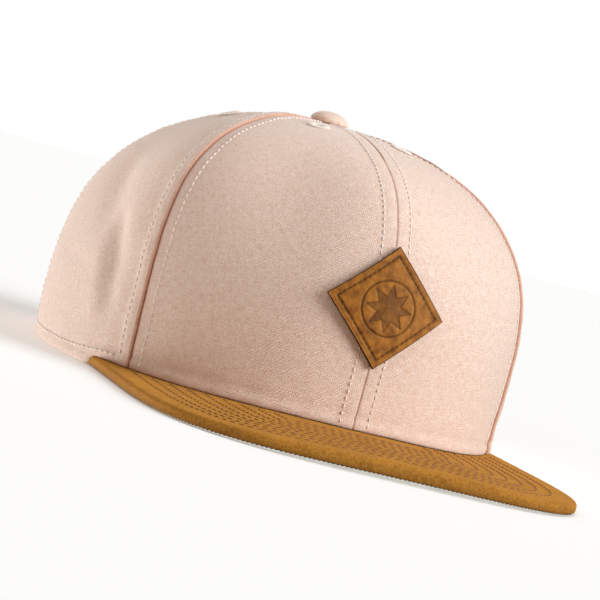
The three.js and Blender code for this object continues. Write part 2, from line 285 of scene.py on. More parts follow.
def rimLift(angle):
    x, y = rimPoint(angle)
    return peakLift(x) if y < 0 else 0


def peakThickness(x):
    return mix(peak["thickness"], peak["sideThickness"], smooth(peak["taperFrom"], peak["taperTo"], abs(x)))


seamTurns = [rimTurn(radians(seam)) for seam in seams]


def seamWave(turn):
    turn = min(abs(turn), seamTurns[-1])
    start = max(seam for seam in seamTurns[:-1] if turn >= seam)
    end = min(seam for seam in seamTurns if seam > start)
    return cos(2 * pi * (turn - start) / (end - start))


def foldDepth(folds, angle, height):
    scale = crown["halfWidth"] * pi / 180
    here = Vector((degrees(angle) * scale, height))
    depth = 0
    for start, end, width, deep in folds:
        low = Vector((start[0] * scale, start[1]))
        run = Vector((end[0] * scale, end[1])) - low
        along = min(1, max(0, (here - low).dot(run) / run.length_squared))
        depth += deep * bell((here - low - run * along).length, width)
    return depth


def wallPoint(angle, climb):
    turn = rimTurn(angle)
    front = (1 + cos(turn)) / 2
    widthPower = mix(crown["rearWidthPower"], crown["frontWidthPower"], front)
    heightPower = mix(crown["rearHeightPower"], crown["frontHeightPower"], front)
    sine = max(0, sin(climb)) ** (1 / heightPower)
    cosine = sqrt(max(0, 1 - sine * sine))
    double = 2 * sine * cosine
    x, y = rimPoint(angle)
    lift = rimLift(angle)
    height = lift + (crown["height"] - lift) * sin(climb)
    ridge = 1 + crown["seamRidge"] * double * double * seamWave(turn)
    share = cosine**widthPower * (1 + crown["bulge"] * double) * ridge
    share -= foldDepth(hollows, turn, height) / crown["halfWidth"]
    return Vector((x * share, y * share + crown["topSetBack"] * sine, height))


def wallFrame(angle, climb):
    # the point, the outward normal, and millimetres along the wall for each radian
    here = wallPoint(angle, climb)
    across = wallPoint(angle + nudge, climb) - wallPoint(angle - nudge, climb)
    up = wallPoint(angle, climb + nudge) - here
    return here, across.cross(up).normalized(), across.length / (2 * nudge)


def climbAtHeight(angle, height):
    lift = rimLift(angle)
    return asin(min(1, max(0, (height - lift) / (crown["height"] - lift))))


def frameAtHeight(angle, height):
    return wallFrame(angle, climbAtHeight(angle, height))


def climbAtRadius(angle, radius):
    def inward(climb):
        point = wallPoint(angle, climb)
        return radius - hypot(point.x, point.y - crown["topSetBack"])

    return crossing(radians(20), radians(89.9), inward)


def angleAtX(x, height, rear=True):
    start = pi if rear else 0

    def wider(offset):
        angle = abs(start - offset)
        return wallPoint(angle, climbAtHeight(angle, height)).x - abs(x)

    return copysign(abs(start - crossing(0, pi / 2, wider)), x)


def rearAngle(x, height):
    # the same on the rear of the crown, also in its middle
    return angleAtX(x if abs(x) > 1e-4 else copysign(1e-4, x), height)


def towardsTop(share):
    return 1 - (1 - share) ** 1.4


# Making meshes from sheets


def inMetres(point):
    return (point[0] * mm, (point[1] + rowShift) * mm, point[2] * mm)


def makeObject(name, points, faces, pointUvs=None, pointMarks=None):
    mesh = bpy.data.meshes.new(name)
    mesh.from_pydata([inMetres(point) for point in points], [], faces)
    if pointMarks:
        mesh.attributes.new("mark", "FLOAT", "POINT").data.foreach_set("value", pointMarks)
    if pointUvs:
        layer = mesh.uv_layers.new(name="cloth")
        for loop in mesh.loops:
            layer.data[loop.index].uv = pointUvs[loop.vertex_index]
    work = bmesh.new()
    work.from_mesh(mesh)
    bmesh.ops.remove_doubles(work, verts=work.verts, dist=1e-7)
    finishMesh(work, mesh)
    return addObject(name, mesh)


def finishMesh(work, mesh):
    bmesh.ops.recalc_face_normals(work, faces=work.faces)
    for face in work.faces:
        face.smooth = True
    work.to_mesh(mesh)
    work.free()


def tubeFaces(base, rings, sides):
    # faces between rings of points that follow each other in one list
    faces = []
    for low in range(base, base + (rings - 1) * sides, sides):
        for k in range(sides):
            first, second = low + k, low + (k + 1) % sides
            faces.append((first, second, second + sides, first + sides))
    return faces


def makeShell(name, sheet, thickness, edge=0.3, twoFaced=()):
    # sheet is rows of (point, normal, uv, mark) on the face that shows, and the edges are rounded
    # twoFaced is the materials of that face and of the one behind it
    rows, columns = len(sheet), len(sheet[0])
    points, uvs, marks, faces = [], [], [], []

    def add(row, column, pull, depth):
        point, normal, uv, mark = sheet[row][column]
        inward = Vector((0, 0, 0))
        for atEdge, near in (
            (row == 0, (1, column)),
            (row == rows - 1, (rows - 2, column)),
            (column == 0, (row, 1)),
            (column == columns - 1, (row, columns - 2)),
        ):
            if atEdge:
                inward += (sheet[near[0]][near[1]][0] - point).normalized() * pull
        points.append(point + inward - normal * depth)
        uvs.append(uv)
        marks.append(mark)
        return len(points) - 1

    def layer(depth):
        return [[add(row, column, edge, depth) for column in range(columns)] for row in range(rows)]

    front, back = layer(0), layer(thickness)
    for row, column in itertools.product(range(rows - 1), range(columns - 1)):
        corners = ((row, column), (row, column + 1), (row + 1, column + 1), (row + 1, column))
        faces.append([front[r][c] for r, c in corners])
        faces.append([back[r][c] for r, c in reversed(corners)])
    border = [(0, column) for column in range(columns - 1)]
    border += [(row, columns - 1) for row in range(rows - 1)]
    border += [(rows - 1, column) for column in range(columns - 1, 0, -1)]
    border += [(row, 0) for row in range(rows - 1, 0, -1)]
    loops = [[front[row][column] for row, column in border]]
    for share in (0.25, 0.5, 0.75):
        turn = pi * share
        pull = edge * (1 - sin(turn))
        depth = thickness * (1 - cos(turn)) / 2
        loops.append([add(row, column, pull, depth) for row, column in border])
    loops.append([back[row][column] for row, column in border])
    for outer, inner in zip(loops, loops[1:]):
        for k in range(len(border)):
            after = (k + 1) % len(border)
            faces.append((outer[k], inner[k], inner[after], outer[after]))
    thing = makeObject(name, points, faces, uvs, marks)
    for material in twoFaced:
        thing.data.materials.append(material)
    if twoFaced:
        for k in range((rows - 1) * (columns - 1)):
            thing.data.polygons[2 * k + 1].material_index = 1
    return thing


def finishPiece(thing, material, replaced=()):
    if not thing.data.materials:
        thing.data.materials.append(material)
    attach(thing, "root")
    if replaced:
        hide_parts(*replaced)
    return thing


def evenShares(length, spacing, edges=(), end=True):
    # shares from 0 to 1, a spacing apart, with closer ones near the ends
    ordered = set(shares(max(2, round(length / spacing))))
    ordered |= {distance / length for distance in edges}
    if end:
        ordered |= {1 - distance / length for distance in edges}
    kept = [0.0]
    for share in sorted(ordered)[1:]:
        if share - kept[-1] > 0.25 / length:
            kept.append(share)
    kept[-1] = 1.0
    return kept


# Thread

stitchShape = [(0.1, 0.6), (0.32, 1.0), (0.68, 1.0), (0.9, 0.6)]  # share of the length, share of the radius
stitchSides = 6
stitchSink = 0.6  # the ends go into the cloth by this share of the radius


def newThread():
    return {"points": [], "faces": []}


def addStitch(thread, start, end, up, radius, arch=0.6):
    points, faces = thread["points"], thread["faces"]
    base = len(points)
    along = (end - start).normalized()
    side = along.cross(up).normalized()
    up = side.cross(along).normalized()
    points.append(start - up * radius * stitchSink)
    for share, girth in stitchShape:
        middle = start.lerp(end, share) + up * radius * arch * sin(pi * share)
        for turn in circle(stitchSides):
            points.append(middle + (side * cos(turn) + up * sin(turn)) * radius * girth)
    points.append(end - up * radius * stitchSink)
    last = len(points) - 1
    faces += tubeFaces(base + 1, len(stitchShape), stitchSides)
    for k in range(stitchSides):
        after = (k + 1) % stitchSides
        faces.append((base, base + 1 + after, base + 1 + k))
        faces.append((last - stitchSides + k, last - stitchSides + after, last))


def layStitches(thread, track, pitch=2.5, length=1.8, radius=0.27, lift=0.03):
    # track is a row of (point, normal, ...), close together
    reach = reachAlong([spot[0] for spot in track])

    def at(distance):
        k, share = stepAt(reach, distance)
        return track[k - 1][0].lerp(track[k][0], share), track[k - 1][1].lerp(track[k][1], share)

    for k in range(int(reach[-1] / pitch)):
        first, normal = at(k * pitch + (pitch - length) / 2)
        second, _ = at(k * pitch + (pitch + length) / 2)
        addStitch(thread, first + normal * lift, second + normal * lift, normal, radius)


def makeThread(name, thread, material):
    return finishPiece(makeObject(name, thread["points"], thread["faces"]), material)


# Materials: node groups that several materials share


def maths(tree, operation, *values):
    return addNode(tree, "Math", dict(enumerate(values)), operation=operation).outputs[0]


def ramp(tree, value, start, gain, most=1.0):
    # rises by the gain from nothing at the start, to no more than most
    rise = maths(tree, "MULTIPLY", maths(tree, "SUBTRACT", value, start), gain)
    return maths(tree, "MINIMUM", maths(tree, "MAXIMUM", rise, 0.0), most)


def ribWave(tree, place):
    # one rounded rib for each step of one
    return maths(tree, "ABSOLUTE", maths(tree, "SINE", maths(tree, "MULTIPLY", place, pi)))


def noiseOn(tree, place, scale, detail):
    inputs = {"Vector": place, "Scale": scale, "Detail": detail}
    return addNode(tree, "TexNoise", inputs).outputs["Fac"]


def splitOf(tree, place):
    return addNode(tree, "SeparateXYZ", {0: place}).outputs


def mixColour(tree, share, first, second):
    return addNode(tree, "Mix", {0: share, 6: first, 7: second}, data_type="RGBA").outputs[2]


def startGroup(name, inputs, outputs):
    group = bpy.data.node_groups.new(name, "ShaderNodeTree")
    for label, kind, value in inputs:
        socket = group.interface.new_socket(name=label, in_out="INPUT", socket_type="NodeSocket" + kind)
        if value is not None:
            socket.default_value = value
    for label, kind in outputs:
        group.interface.new_socket(name=label, in_out="OUTPUT", socket_type="NodeSocket" + kind)
    return group, group.nodes.new("NodeGroupInput").outputs, group.nodes.new("NodeGroupOutput")


def makeWeaveGroup():
    inputs = [("Position", "Vector", None), ("Threads", "Float", 1.8), ("Slub Length", "Float", 0.13)]
    group, start, end = startGroup("plainWeave", inputs, [("Height", "Float"), ("Slub", "Float")])
    place = start["Position"]
    scaled = addNode(group, "VectorMath", {0: place, "Scale": start["Threads"]}, operation="SCALE")
    split = splitOf(group, scaled.outputs[0])
    shake = maths(group, "MULTIPLY", noiseOn(group, place, 0.35, 2.0), 1.6)
    across = maths(group, "ADD", split["X"], shake)
    up = maths(group, "SUBTRACT", split["Y"], shake)
    crossings = maths(group, "ADD", maths(group, "FLOOR", across), maths(group, "FLOOR", up))
    over = maths(group, "PINGPONG", crossings, 1.0)
    height = addNode(group, "Mix", {0: over, 2: ribWave(group, across), 3: ribWave(group, up)})
    axis = splitOf(group, place)
    streaks = []
    for along, beside in ("XY", "YX"):
        drawn = {0: maths(group, "MULTIPLY", axis[along], start["Slub Length"]), 1: axis[beside]}
        streaks.append(noiseOn(group, addNode(group, "CombineXYZ", drawn).outputs[0], 2.6, 2.0))
    slub = maths(group, "MULTIPLY", maths(group, "ADD", *streaks), 0.5)
    feed(group, end, {"Height": height.outputs[0], "Slub": slub})
    return group


def makeTwillGroup():
    inputs = [("Position", "Vector", None), ("Ribs", "Float", 1.6), ("Slant", "Float", 0.8)]
    group, start, end = startGroup("twillRibs", inputs, [("Height", "Float")])
    split = splitOf(group, start["Position"])
    slanted = maths(group, "MULTIPLY_ADD", split["Y"], start["Slant"], split["X"])
    wobble = noiseOn(group, start["Position"], 0.8, 3.0)
    rib = ribWave(group, maths(group, "MULTIPLY_ADD", slanted, start["Ribs"], wobble))
    fine = noiseOn(group, start["Position"], 3.1, 2.0)
    feed(group, end, {"Height": maths(group, "MULTIPLY_ADD", fine, 0.5, rib)})
    return group


def makeDriftGroup():
    # slow changes of tone over the cloth
    inputs = [("Colour", "Color", (1, 1, 1, 1)), ("Shade Colour", "Color", (0.5, 0.5, 0.5, 1))]
    inputs += [("Amount", "Float", 0.3), ("Scale", "Float", 30.0)]
    group, start, end = startGroup("toneDrift", inputs, [("Colour", "Color")])
    spot = addNode(group, "TexCoord").outputs["Object"]
    share = maths(group, "MULTIPLY", noiseOn(group, spot, start["Scale"], 4.0), start["Amount"])
    feed(group, end, {"Colour": mixColour(group, share, start["Colour"], start["Shade Colour"])})
    return group


weaveGroup, twillGroup, driftGroup = makeWeaveGroup(), makeTwillGroup(), makeDriftGroup()


def srgb(red, green, blue):
    def linear(value):
        value /= 255
        return value / 12.92 if value <= 0.04045 else ((value + 0.055) / 1.055) ** 2.4

    return (linear(red), linear(green), linear(blue), 1)


def clothPlace(tree):
    return addNode(tree, "UVMap", uv_map="cloth").outputs["UV"]


def objectPlace(tree):
    return addNode(tree, "TexCoord").outputs["Object"]


def markOf(tree):
    return addNode(tree, "Attribute", attribute_name="mark").outputs["Fac"]


def driftColour(tree, colour, shade, amount, scale):
    inputs = {"Colour": colour, "Shade Colour": shade, "Amount": amount, "Scale": scale}
    return addNode(tree, "Group", inputs, node_tree=driftGroup).outputs["Colour"]


def paint(material, colour, height, distance, strength):
    # distance is the relief's depth in millimetres
    tree = material.node_tree
    inputs = {"Height": height, "Distance": distance * mm, "Strength": strength}
    bump = addNode(tree, "Bump", inputs)
    feed(tree, tree.nodes["Principled BSDF"], {"Base Color": colour, "Normal": bump.outputs["Normal"]})
    return material


cottonFinish = {"Roughness": 0.88, "Sheen Weight": 0.55, "Specular IOR Level": 0.2}
cottonLook = {
    "colour": srgb(240, 214, 200),
    "shade": srgb(222, 180, 153),
    "pale": srgb(249, 232, 223),
    "deep": srgb(212, 167, 142),
    # seam is the colour of the shade painted along the seam grooves
    "seam": srgb(202, 118, 70),
    "threads": 1.6,  # to a millimetre
    "bump": 0.1,
}
# the inside face is paler: partly the cloth's own reverse side, partly painted light that brightens the dim
# inside of the crown
insideLook = {
    "colour": srgb(248, 236, 232),
    "shade": srgb(236, 218, 212),
    "pale": srgb(252, 244, 242),
    "deep": srgb(236, 218, 210),
    # seam is the colour of the shade painted along the seams on the inside face
    "seam": srgb(190, 150, 130),
    "threads": 1.6,
    "bump": 0.12,
}


def makeCotton(name, look):
    material, tree = startMaterial(name, cottonFinish)
    inputs = {"Position": clothPlace(tree), "Threads": look["threads"]}
    weave = addNode(tree, "Group", inputs, node_tree=weaveGroup).outputs
    colour = driftColour(tree, look["colour"], look["shade"], 0.3, 22.0)
    colour = mixColour(tree, ramp(tree, weave["Slub"], 0.5, 6.0, 0.6), colour, look["pale"])
    colour = mixColour(tree, ramp(tree, weave["Slub"], 0.49, -5.0, 0.5), colour, look["deep"])
    dark = maths(tree, "MULTIPLY", maths(tree, "SUBTRACT", 1.0, weave["Height"]), 0.3)
    colour = mixColour(tree, dark, colour, look["shade"])
    # painted shade along the seams, where the mark is set
    colour = mixColour(tree, markOf(tree), colour, look["seam"])
    relief = maths(tree, "MULTIPLY_ADD", weave["Slub"], 0.9, weave["Height"])
    return paint(material, colour, relief, look["bump"], 0.8)


twillLook = {"bump": 0.2, "ribs": 1.5, "slant": 0.9, "contrast": 0.4, "mark": srgb(120, 110, 104)}
peakLook = {"bump": 0.38, "ribs": 0.6, "slant": 0.05, "contrast": 0.85, "mark": srgb(250, 250, 250)}
# the piping's mark colour is painted shade in the hollows between its twists
pipingLook = {"bump": 0.1, "ribs": 1.5, "slant": 0.9, "contrast": 0.3, "mark": srgb(92, 88, 84)}
labelLook = {"bump": 0.1, "ribs": 1.1, "slant": 0.05, "contrast": 0.5, "mark": srgb(20, 40, 70)}
satinLook = {"bump": 0.06, "ribs": 3.0, "slant": 0.15, "contrast": 0.35, "mark": srgb(20, 40, 70)}


def makeTwill(name, colour, shade, look, roughness=0.85):
    finish = {"Roughness": roughness, "Sheen Weight": 0.1, "Specular IOR Level": 0.2}
    material, tree = startMaterial(name, finish)
    inputs = {"Position": clothPlace(tree), "Ribs": look["ribs"], "Slant": look["slant"]}
    height = addNode(tree, "Group", inputs, node_tree=twillGroup).outputs["Height"]
    low = maths(tree, "MAXIMUM", maths(tree, "SUBTRACT", 1.25, height), 0.0)
    dark = maths(tree, "MULTIPLY", low, look["contrast"])
    ribbed = mixColour(tree, dark, driftColour(tree, colour, shade, 0.45, 25.0), shade)
    return paint(material, mixColour(tree, markOf(tree), ribbed, look["mark"]), height, look["bump"], 0.8)


suedeLook = {
    "colour": srgb(188, 126, 46),
    "shade": srgb(104, 60, 16),
    "pale": srgb(208, 150, 66),
    # dark is the colour of shade painted on the lower round of the edge and the lip under it
    "dark": srgb(58, 32, 10),
}


def makeSuede(name, look):
    finish = {"Roughness": 0.95, "Sheen Weight": 0.35, "Specular IOR Level": 0.15}
    material, tree = startMaterial(name, finish | {"Sheen Tint": look["pale"]})
    place = objectPlace(tree)
    nap, brushed = noiseOn(tree, place, 1300.0, 3.0), noiseOn(tree, place, 120.0, 5.0)
    colour = mixColour(tree, brushed, look["shade"], look["colour"])
    colour = mixColour(tree, ramp(tree, nap, 0.35, 1.6, 0.8), colour, look["pale"])
    # painted shade, rising from the top of the edge to the lip underneath, broken up by the brushed nap
    paintedUnderShade = maths(tree, "MULTIPLY", markOf(tree), maths(tree, "ADD", brushed, 0.5))
    colour = mixColour(tree, maths(tree, "MINIMUM", paintedUnderShade, 1.0), colour, look["dark"])
    return paint(material, colour, maths(tree, "MULTIPLY_ADD", brushed, 0.6, nap), 0.25, 0.8)


def makeThreadMaterial(name, colour, shade):
    finish = {"Roughness": 0.7, "Sheen Weight": 0.2, "Specular IOR Level": 0.3}
    material, tree = startMaterial(name, finish)
    strand = noiseOn(tree, objectPlace(tree), 2500.0, 1.0)
    return paint(material, mixColour(tree, strand, colour, shade), strand, 0.1, 0.6)


leatherLook = {
    "colour": srgb(176, 113, 38),
    "shade": srgb(116, 67, 18),
    "burnt": srgb(44, 22, 8),
}


def makeLeather(name, look):
    material, tree = startMaterial(name, {"Roughness": 0.62, "Specular IOR Level": 0.2})
    place = objectPlace(tree)
    grain = addNode(tree, "TexVoronoi", {"Vector": place, "Scale": 900.0})
    fibre = noiseOn(tree, place, 350.0, 6.0)
    base = mixColour(tree, ramp(tree, fibre, 0.34, 2.6), look["colour"], look["shade"])
    colour = mixColour(tree, markOf(tree), base, look["burnt"])
    relief = maths(tree, "MULTIPLY_ADD", fibre, 0.8, grain.outputs["Distance"])
    return paint(material, colour, relief, 0.12, 0.7)


plasticLook = {
    "colour": srgb(226, 190, 168),
    "shade": srgb(206, 168, 146),
    # overlapShade is painted shade: darker where both bands lie over each other, and painted shadows of the
    # pegs seen through the band
    "overlapShade": srgb(188, 173, 171),  # where both bands lie over each other, and over the pegs
    "pegShift": 0.96,  # where the pegs fall, a half width of the band apart
    "pegLength": 0.28,
    "pegWidth": 0.15,
    "edge": 1.02,
}


def makePlastic(name, look):
    finish = {"Roughness": 0.28, "Transmission Weight": 0.6, "IOR": 1.46}
    material, tree = startMaterial(name, finish)
    place = objectPlace(tree)
    colour = mixColour(tree, noiseOn(tree, place, 60.0, 2.0), look["colour"], look["shade"])
    spread = splitOf(tree, clothPlace(tree))  # in half widths from the middle of the other band's round tip
    # painted shade where the other band lies over this one
    past = {0: maths(tree, "MINIMUM", spread["X"], 0.0), 1: spread["Y"]}
    before = addNode(tree, "CombineXYZ", past)
    away = addNode(tree, "VectorMath", {0: before.outputs[0]}, operation="LENGTH").outputs["Value"]
    double = maths(tree, "MULTIPLY", maths(tree, "SUBTRACT", look["edge"], away), 20.0)
    # painted shadows of the pegs, seen through the pegged band
    shifted = maths(tree, "FRACT", maths(tree, "ADD", spread["X"], look["pegShift"]))
    along = maths(tree, "ABSOLUTE", maths(tree, "SUBTRACT", shifted, 0.5))
    up = maths(tree, "ABSOLUTE", spread["Y"])
    length = maths(tree, "MULTIPLY", maths(tree, "SUBTRACT", look["pegLength"], along), 8.0)
    width = maths(tree, "MULTIPLY", maths(tree, "SUBTRACT", look["pegWidth"], up), 10.0)
    pegShadow = maths(tree, "MULTIPLY", maths(tree, "MINIMUM", length, width), markOf(tree))
    overlapShade = ramp(tree, maths(tree, "MAXIMUM", double, pegShadow), 0.0, 1.0)
    colour = mixColour(tree, overlapShade, colour, look["overlapShade"])
    return paint(material, colour, noiseOn(tree, place, 900.0, 2.0), 0.03, 0.5)


cotton = makeCotton("crownCotton", cottonLook)
cottonInside = makeCotton("crownCottonInside", insideLook)
bandTwill = makeTwill("bandTwill", srgb(204, 194, 186), srgb(138, 124, 115), twillLook)
peakTwill = makeTwill("peakTwill", srgb(222, 221, 213), srgb(165, 164, 155), peakLook)
pipingTwill = makeTwill("pipingTwill", srgb(232, 232, 228), srgb(178, 178, 174), pipingLook)
satin = makeTwill("tapeSatin", srgb(66, 128, 182), srgb(34, 78, 128), satinLook, 0.42)
labelSatin = makeTwill("labelSatin", srgb(100, 180, 222), srgb(44, 108, 158), labelLook, 0.5)
suede = makeSuede("peakSuede", suedeLook)
leather = makeLeather("patchLeather", leatherLook)
plastic = makePlastic("snapPlastic", plasticLook)
paleThread = makeThreadMaterial("paleThread", srgb(254, 248, 244), srgb(236, 218, 208))
greyThread = makeThreadMaterial("greyThread", srgb(120, 116, 112), srgb(84, 80, 78))
whiteThread = makeThreadMaterial("whiteThread", srgb(252, 252, 250), srgb(226, 225, 222))
brownThread = makeThreadMaterial("brownThread", srgb(168, 110, 54), srgb(120, 74, 34))
darkThread = makeThreadMaterial("darkThread", srgb(74, 48, 26), srgb(44, 28, 16))
navyThread = makeThreadMaterial("navyThread", srgb(26, 52, 84), srgb(12, 28, 52))
print("materials made")

# Crown panels

panelSettings = {
    "spacing": 1.7,
    "rowSpacing": 1.9,
    "climb": 150,
    "backWidth": 135,
    "rowTop": 9,  # the seams' stitches end this far from the middle of the top
    "edges": (0.55, 1.0, 1.5, 2.2, 3.2),
    "hemEdges": (0.6, 1.2, 2.0, 3.0),
    "topstitch": 5.0,
    "hemStitch": 4.1,
    "hemRow": {"pitch": 2.9, "length": 2.1, "radius": 0.34, "lift": 0.06},
    "hemRise": 2.2,  # the row climbs by this to pass over the peak
    "archRows": (2.2, 6.4),
    "pucker": 0.16,
    "unevenness": 0.5,
    "groove": 0.4,  # pressed in by the row along the hem
    "narrow": 26,  # where a panel is narrower than this, its relief fades
}
# how a panel stands at a seam: puff beside it, depth and width of the groove, and the strength and reach of the
# shade painted along it
seamShapes = {
    "centre": {"puff": 0.2, "depth": 0.14, "width": 0.45, "shade": 0.06, "shadeWidth": 0.5},
    "front": {"puff": 0.0, "depth": 0.25, "width": 0.8, "shade": 0.9, "shadeWidth": 0.8},
    "side": {"puff": 0.85, "depth": 0.25, "width": 0.4, "shade": 0.5, "shadeWidth": 0.5},
    "rear": {"puff": 0.06, "depth": 0.15, "width": 0.5, "shade": 0.1, "shadeWidth": 0.5},
}
dents = [
    ((-62.5, 24), (-69, 50), 4.0, 1.2),
    ((-68, 20), (-76, 50), 4.6, -0.5),
    ((-72, 31), (-96, 34), 3.4, 0.4),
    ((66, 30), (76, 60), 5.0, 0.8),
    ((-142, 58), (-150, 84), 6.0, 0.8),
    ((136, 62), (148, 86), 6.0, 0.7),
]
panels = [
    {"name": "front_panel_left", "from": 0, "to": frontSeam},
    {"name": "side_panel_left", "from": frontSeam, "to": rearSeam},
    {"name": "back_panel_left", "from": rearSeam, "to": 180},
    {"name": "back_panel_right", "from": -180, "to": -rearSeam},
    {"name": "side_panel_right", "from": -rearSeam, "to": -frontSeam},
    {"name": "front_panel_right", "from": -frontSeam, "to": 0},
]
eyeletSettings = {"hole": 1.6, "outer": 4.3, "fromTop": 41, "stitches": 38, "thread": 0.36}


def hemHeight(angle):
    # in front the wall stands on the peak, and beside it it comes down to the rim
    x, y = rimPoint(angle)
    if y > 0:
        return 0
    onPeak = 1 - smooth(peak["halfWidth"] - 0.2, peak["halfWidth"] + 1.6, abs(x))
    return peakLift(x) + onPeak * (peakThickness(x) + 0.1)


def archEdge(turn):
    power = 2 / rearArch["power"]
    x = rearArch["halfWidth"] * signedPower(cos(turn), power)
    return x, rearArch["height"] * sin(turn) ** power


# turns of the arch's edge from its foot to its top, with the length reached at each
archTurns = [pi / 2 * share**1.6 for share in shares(400)]
archReach = reachAlong([archEdge(turn) for turn in archTurns])


def archTurnAt(share):
    k, part = stepAt(archReach, share * archReach[-1])
    return mix(archTurns[k - 1], archTurns[k], part)


def panelBottoms(panel, acrossShares):
    low, high = radians(panel["from"]), radians(panel["to"])
    if "back" not in panel["name"]:
        angles = [mix(low, high, share) for share in acrossShares]
        return [(angle, climbAtHeight(angle, hemHeight(angle))) for angle in angles]
    sign = 1 if "left" in panel["name"] else -1
    seam = radians(sign * rearSeam)
    foot = angleAtX(sign * rearArch["halfWidth"], 0)
    hemLength = abs(foot - seam) * crown["rearReach"]
    footShare = hemLength / (hemLength + archReach[-1])
    bottoms = []
    for share in acrossShares:
        out = share if sign > 0 else 1 - share
        if out <= footShare:
            bottoms.append((mix(seam, foot, out / footShare), 0))
        else:
            x, z = archEdge(archTurnAt((out - footShare) / (1 - footShare)))
            angle = rearAngle(sign * x, z)
            bottoms.append((angle if out < 1 else sign * pi, climbAtHeight(angle, z)))
    return bottoms


def seamShape(panel, seam):
    if abs(seam) == frontSeam:
        return seamShapes["front" if "front" in panel["name"] else "side"]
    return seamShapes["rear" if seam else "centre"]


def seamEdges(panel, angle, rate):
    # the distance and shape of both seams, and a share that is less where the panel is narrow
    room = min(1, radians(panel["to"] - panel["from"]) * rate / panelSettings["narrow"])
    reach = rate / max(room, 0.3)
    both = (panel["from"], panel["to"])
    ends = [(abs(angle - radians(seam)) * reach, seamShape(panel, seam)) for seam in both]
    return ends, room


def panelRelief(point, ends, room, hem, settings):
    # how far the outer face stands out from the plain wall, by the distances to the seams and the hem
    stitchLine, hemLine = settings["topstitch"], settings["hemStitch"]
    ripple = settings["pucker"] * noise.noise(point * 0.16)
    relief = settings["unevenness"] * noise.noise(point * 0.035)
    for edge, shape in ends:
        relief += shape["puff"] * (1 - smooth(stitchLine - 1.6, stitchLine + 1.4, edge))
        relief -= shape["depth"] * bell(edge, shape["width"])
        relief -= 0.06 * bell(edge - stitchLine, 0.9)
        relief += 2 * ripple * bell(edge - 3.5, 4)
    hemPlateau = 1 - smooth(hemLine - 1.6, hemLine + 1.2, hem)
    relief += 0.35 * hemPlateau - 0.5 * bell(hem, 0.7)
    relief -= settings["groove"] * bell(hem - hemLine, 0.9)
    relief += 2.4 * ripple * bell(hem - 4, 4)
    return relief * room - foldDepth(dents, atan2(point.x, -point.y), point.z)


def makePanel(panel, settings):
    low, high = radians(panel["from"]), radians(panel["to"])
    back = "back" in panel["name"]
    width = settings["backWidth"] if back else (high - low) * 88
    acrossShares = evenShares(width, settings["spacing"], settings["edges"])
    bottoms = panelBottoms(panel, acrossShares)
    angles = [mix(low, high, share) for share in acrossShares]
    tops = [(angle, climbAtRadius(angle, crown["topHole"])) for angle in angles]

    @functools.cache
    def climbedTo(climb):
        # millimetres up the middle of the panel
        return reachAlong([wallPoint((low + high) / 2, climb * share) for share in shares(12)])[-1]

    sheet = []
    for up in evenShares(settings["climb"], settings["rowSpacing"], settings["hemEdges"], end=False):
        rise = towardsTop(up)
        turned = smooth(0, 1, rise) if back else rise
        ends = zip(bottoms, tops)
        places = [(mix(foot[0], top[0], turned), mix(foot[1], top[1], rise)) for foot, top in ends]
        frames = [wallFrame(angle, climb) for angle, climb in places]
        lengths = reachAlong([point for point, _, _ in frames])
        row = []
        for k, (point, normal, rate) in enumerate(frames):
            angle, climb = places[k]
            hem = (point - sheet[0][k][0]).length if sheet else 0
            ends, room = seamEdges(panel, angle, rate)
            relief = panelRelief(point, ends, room, hem, settings)
            # painted shade along each seam, kept as the mark
            paintedSeamShade = max(shape["shade"] * bell(edge, shape["shadeWidth"]) for edge, shape in ends)
            if climb == 0:
                normal.z = 0
            uv = (lengths[k] - lengths[-1] / 2, climbedTo(round(climb, 2)))
            row.append((point + normal * relief, normal, uv, paintedSeamShade))
        sheet.append(row)
    name = panel["name"] + "_cloth"
    return makeShell(name, sheet, crown["wall"], edge=0.35, twoFaced=(cotton, cottonInside))


def cutHole(thing, point, normal, radius):
    work = bmesh.new()
    size = {"radius1": radius * mm, "radius2": radius * mm, "depth": 12 * mm}
    bmesh.ops.create_cone(work, cap_ends=True, segments=24, **size)
    mesh = bpy.data.meshes.new("cutter")
    work.to_mesh(mesh)
    work.free()
    cutter = addObject("cutter", mesh)
    placeObject(cutter, inMetres(point), normal.to_track_quat("Z", "Y"))
    cut = thing.modifiers.new("cut", "BOOLEAN")
    cut.object = cutter
    cut.solver = "EXACT"
    bpy.context.view_layer.update()
    applied = bpy.data.meshes.new_from_object(thing.evaluated_get(bpy.context.evaluated_depsgraph_get()))
    thing.modifiers.clear()
    thing.data = applied
    bpy.data.objects.remove(cutter)


def sewEyelet(thread, point, normal, settings):
    side = normal.orthogonal().normalized()
    other = normal.cross(side)
    for face in (1, -1):
        base = point if face > 0 else point - normal * crown["wall"]
        for turn in circle(settings["stitches"]):
            out = side * cos(turn) + other * sin(turn)
            start = base + out * settings["hole"] + normal * face * 0.15
            end = base + out * settings["outer"] + normal * face * 0.1
            addStitch(thread, start, end, normal * face, settings["thread"], arch=0.9)


def makeCrown():
    rings = newThread()
    for panel in panels:
        cloth = makePanel(panel, panelSettings)
        angle = radians((panel["from"] + panel["to"]) / 2)
        point, normal, _ = wallFrame(angle, climbAtRadius(angle, eyeletSettings["fromTop"]))
        cutHole(cloth, point, normal, eyeletSettings["hole"])
        finishPiece(cloth, cotton, (panel["name"],))
        sewEyelet(rings, point, normal, eyeletSettings)
    makeThread("eyelet_rings", rings, paleThread)


def onCloth(angle, climb, hem):
    # a place on the panels' outer face, with their relief
    point, normal, rate = wallFrame(angle, climb)
    turn = degrees(angle)
    panel = next(panel for panel in panels if panel["from"] <= turn <= panel["to"])
    ends, room = seamEdges(panel, angle, rate)
    return point + normal * panelRelief(point, ends, room, hem, panelSettings), normal


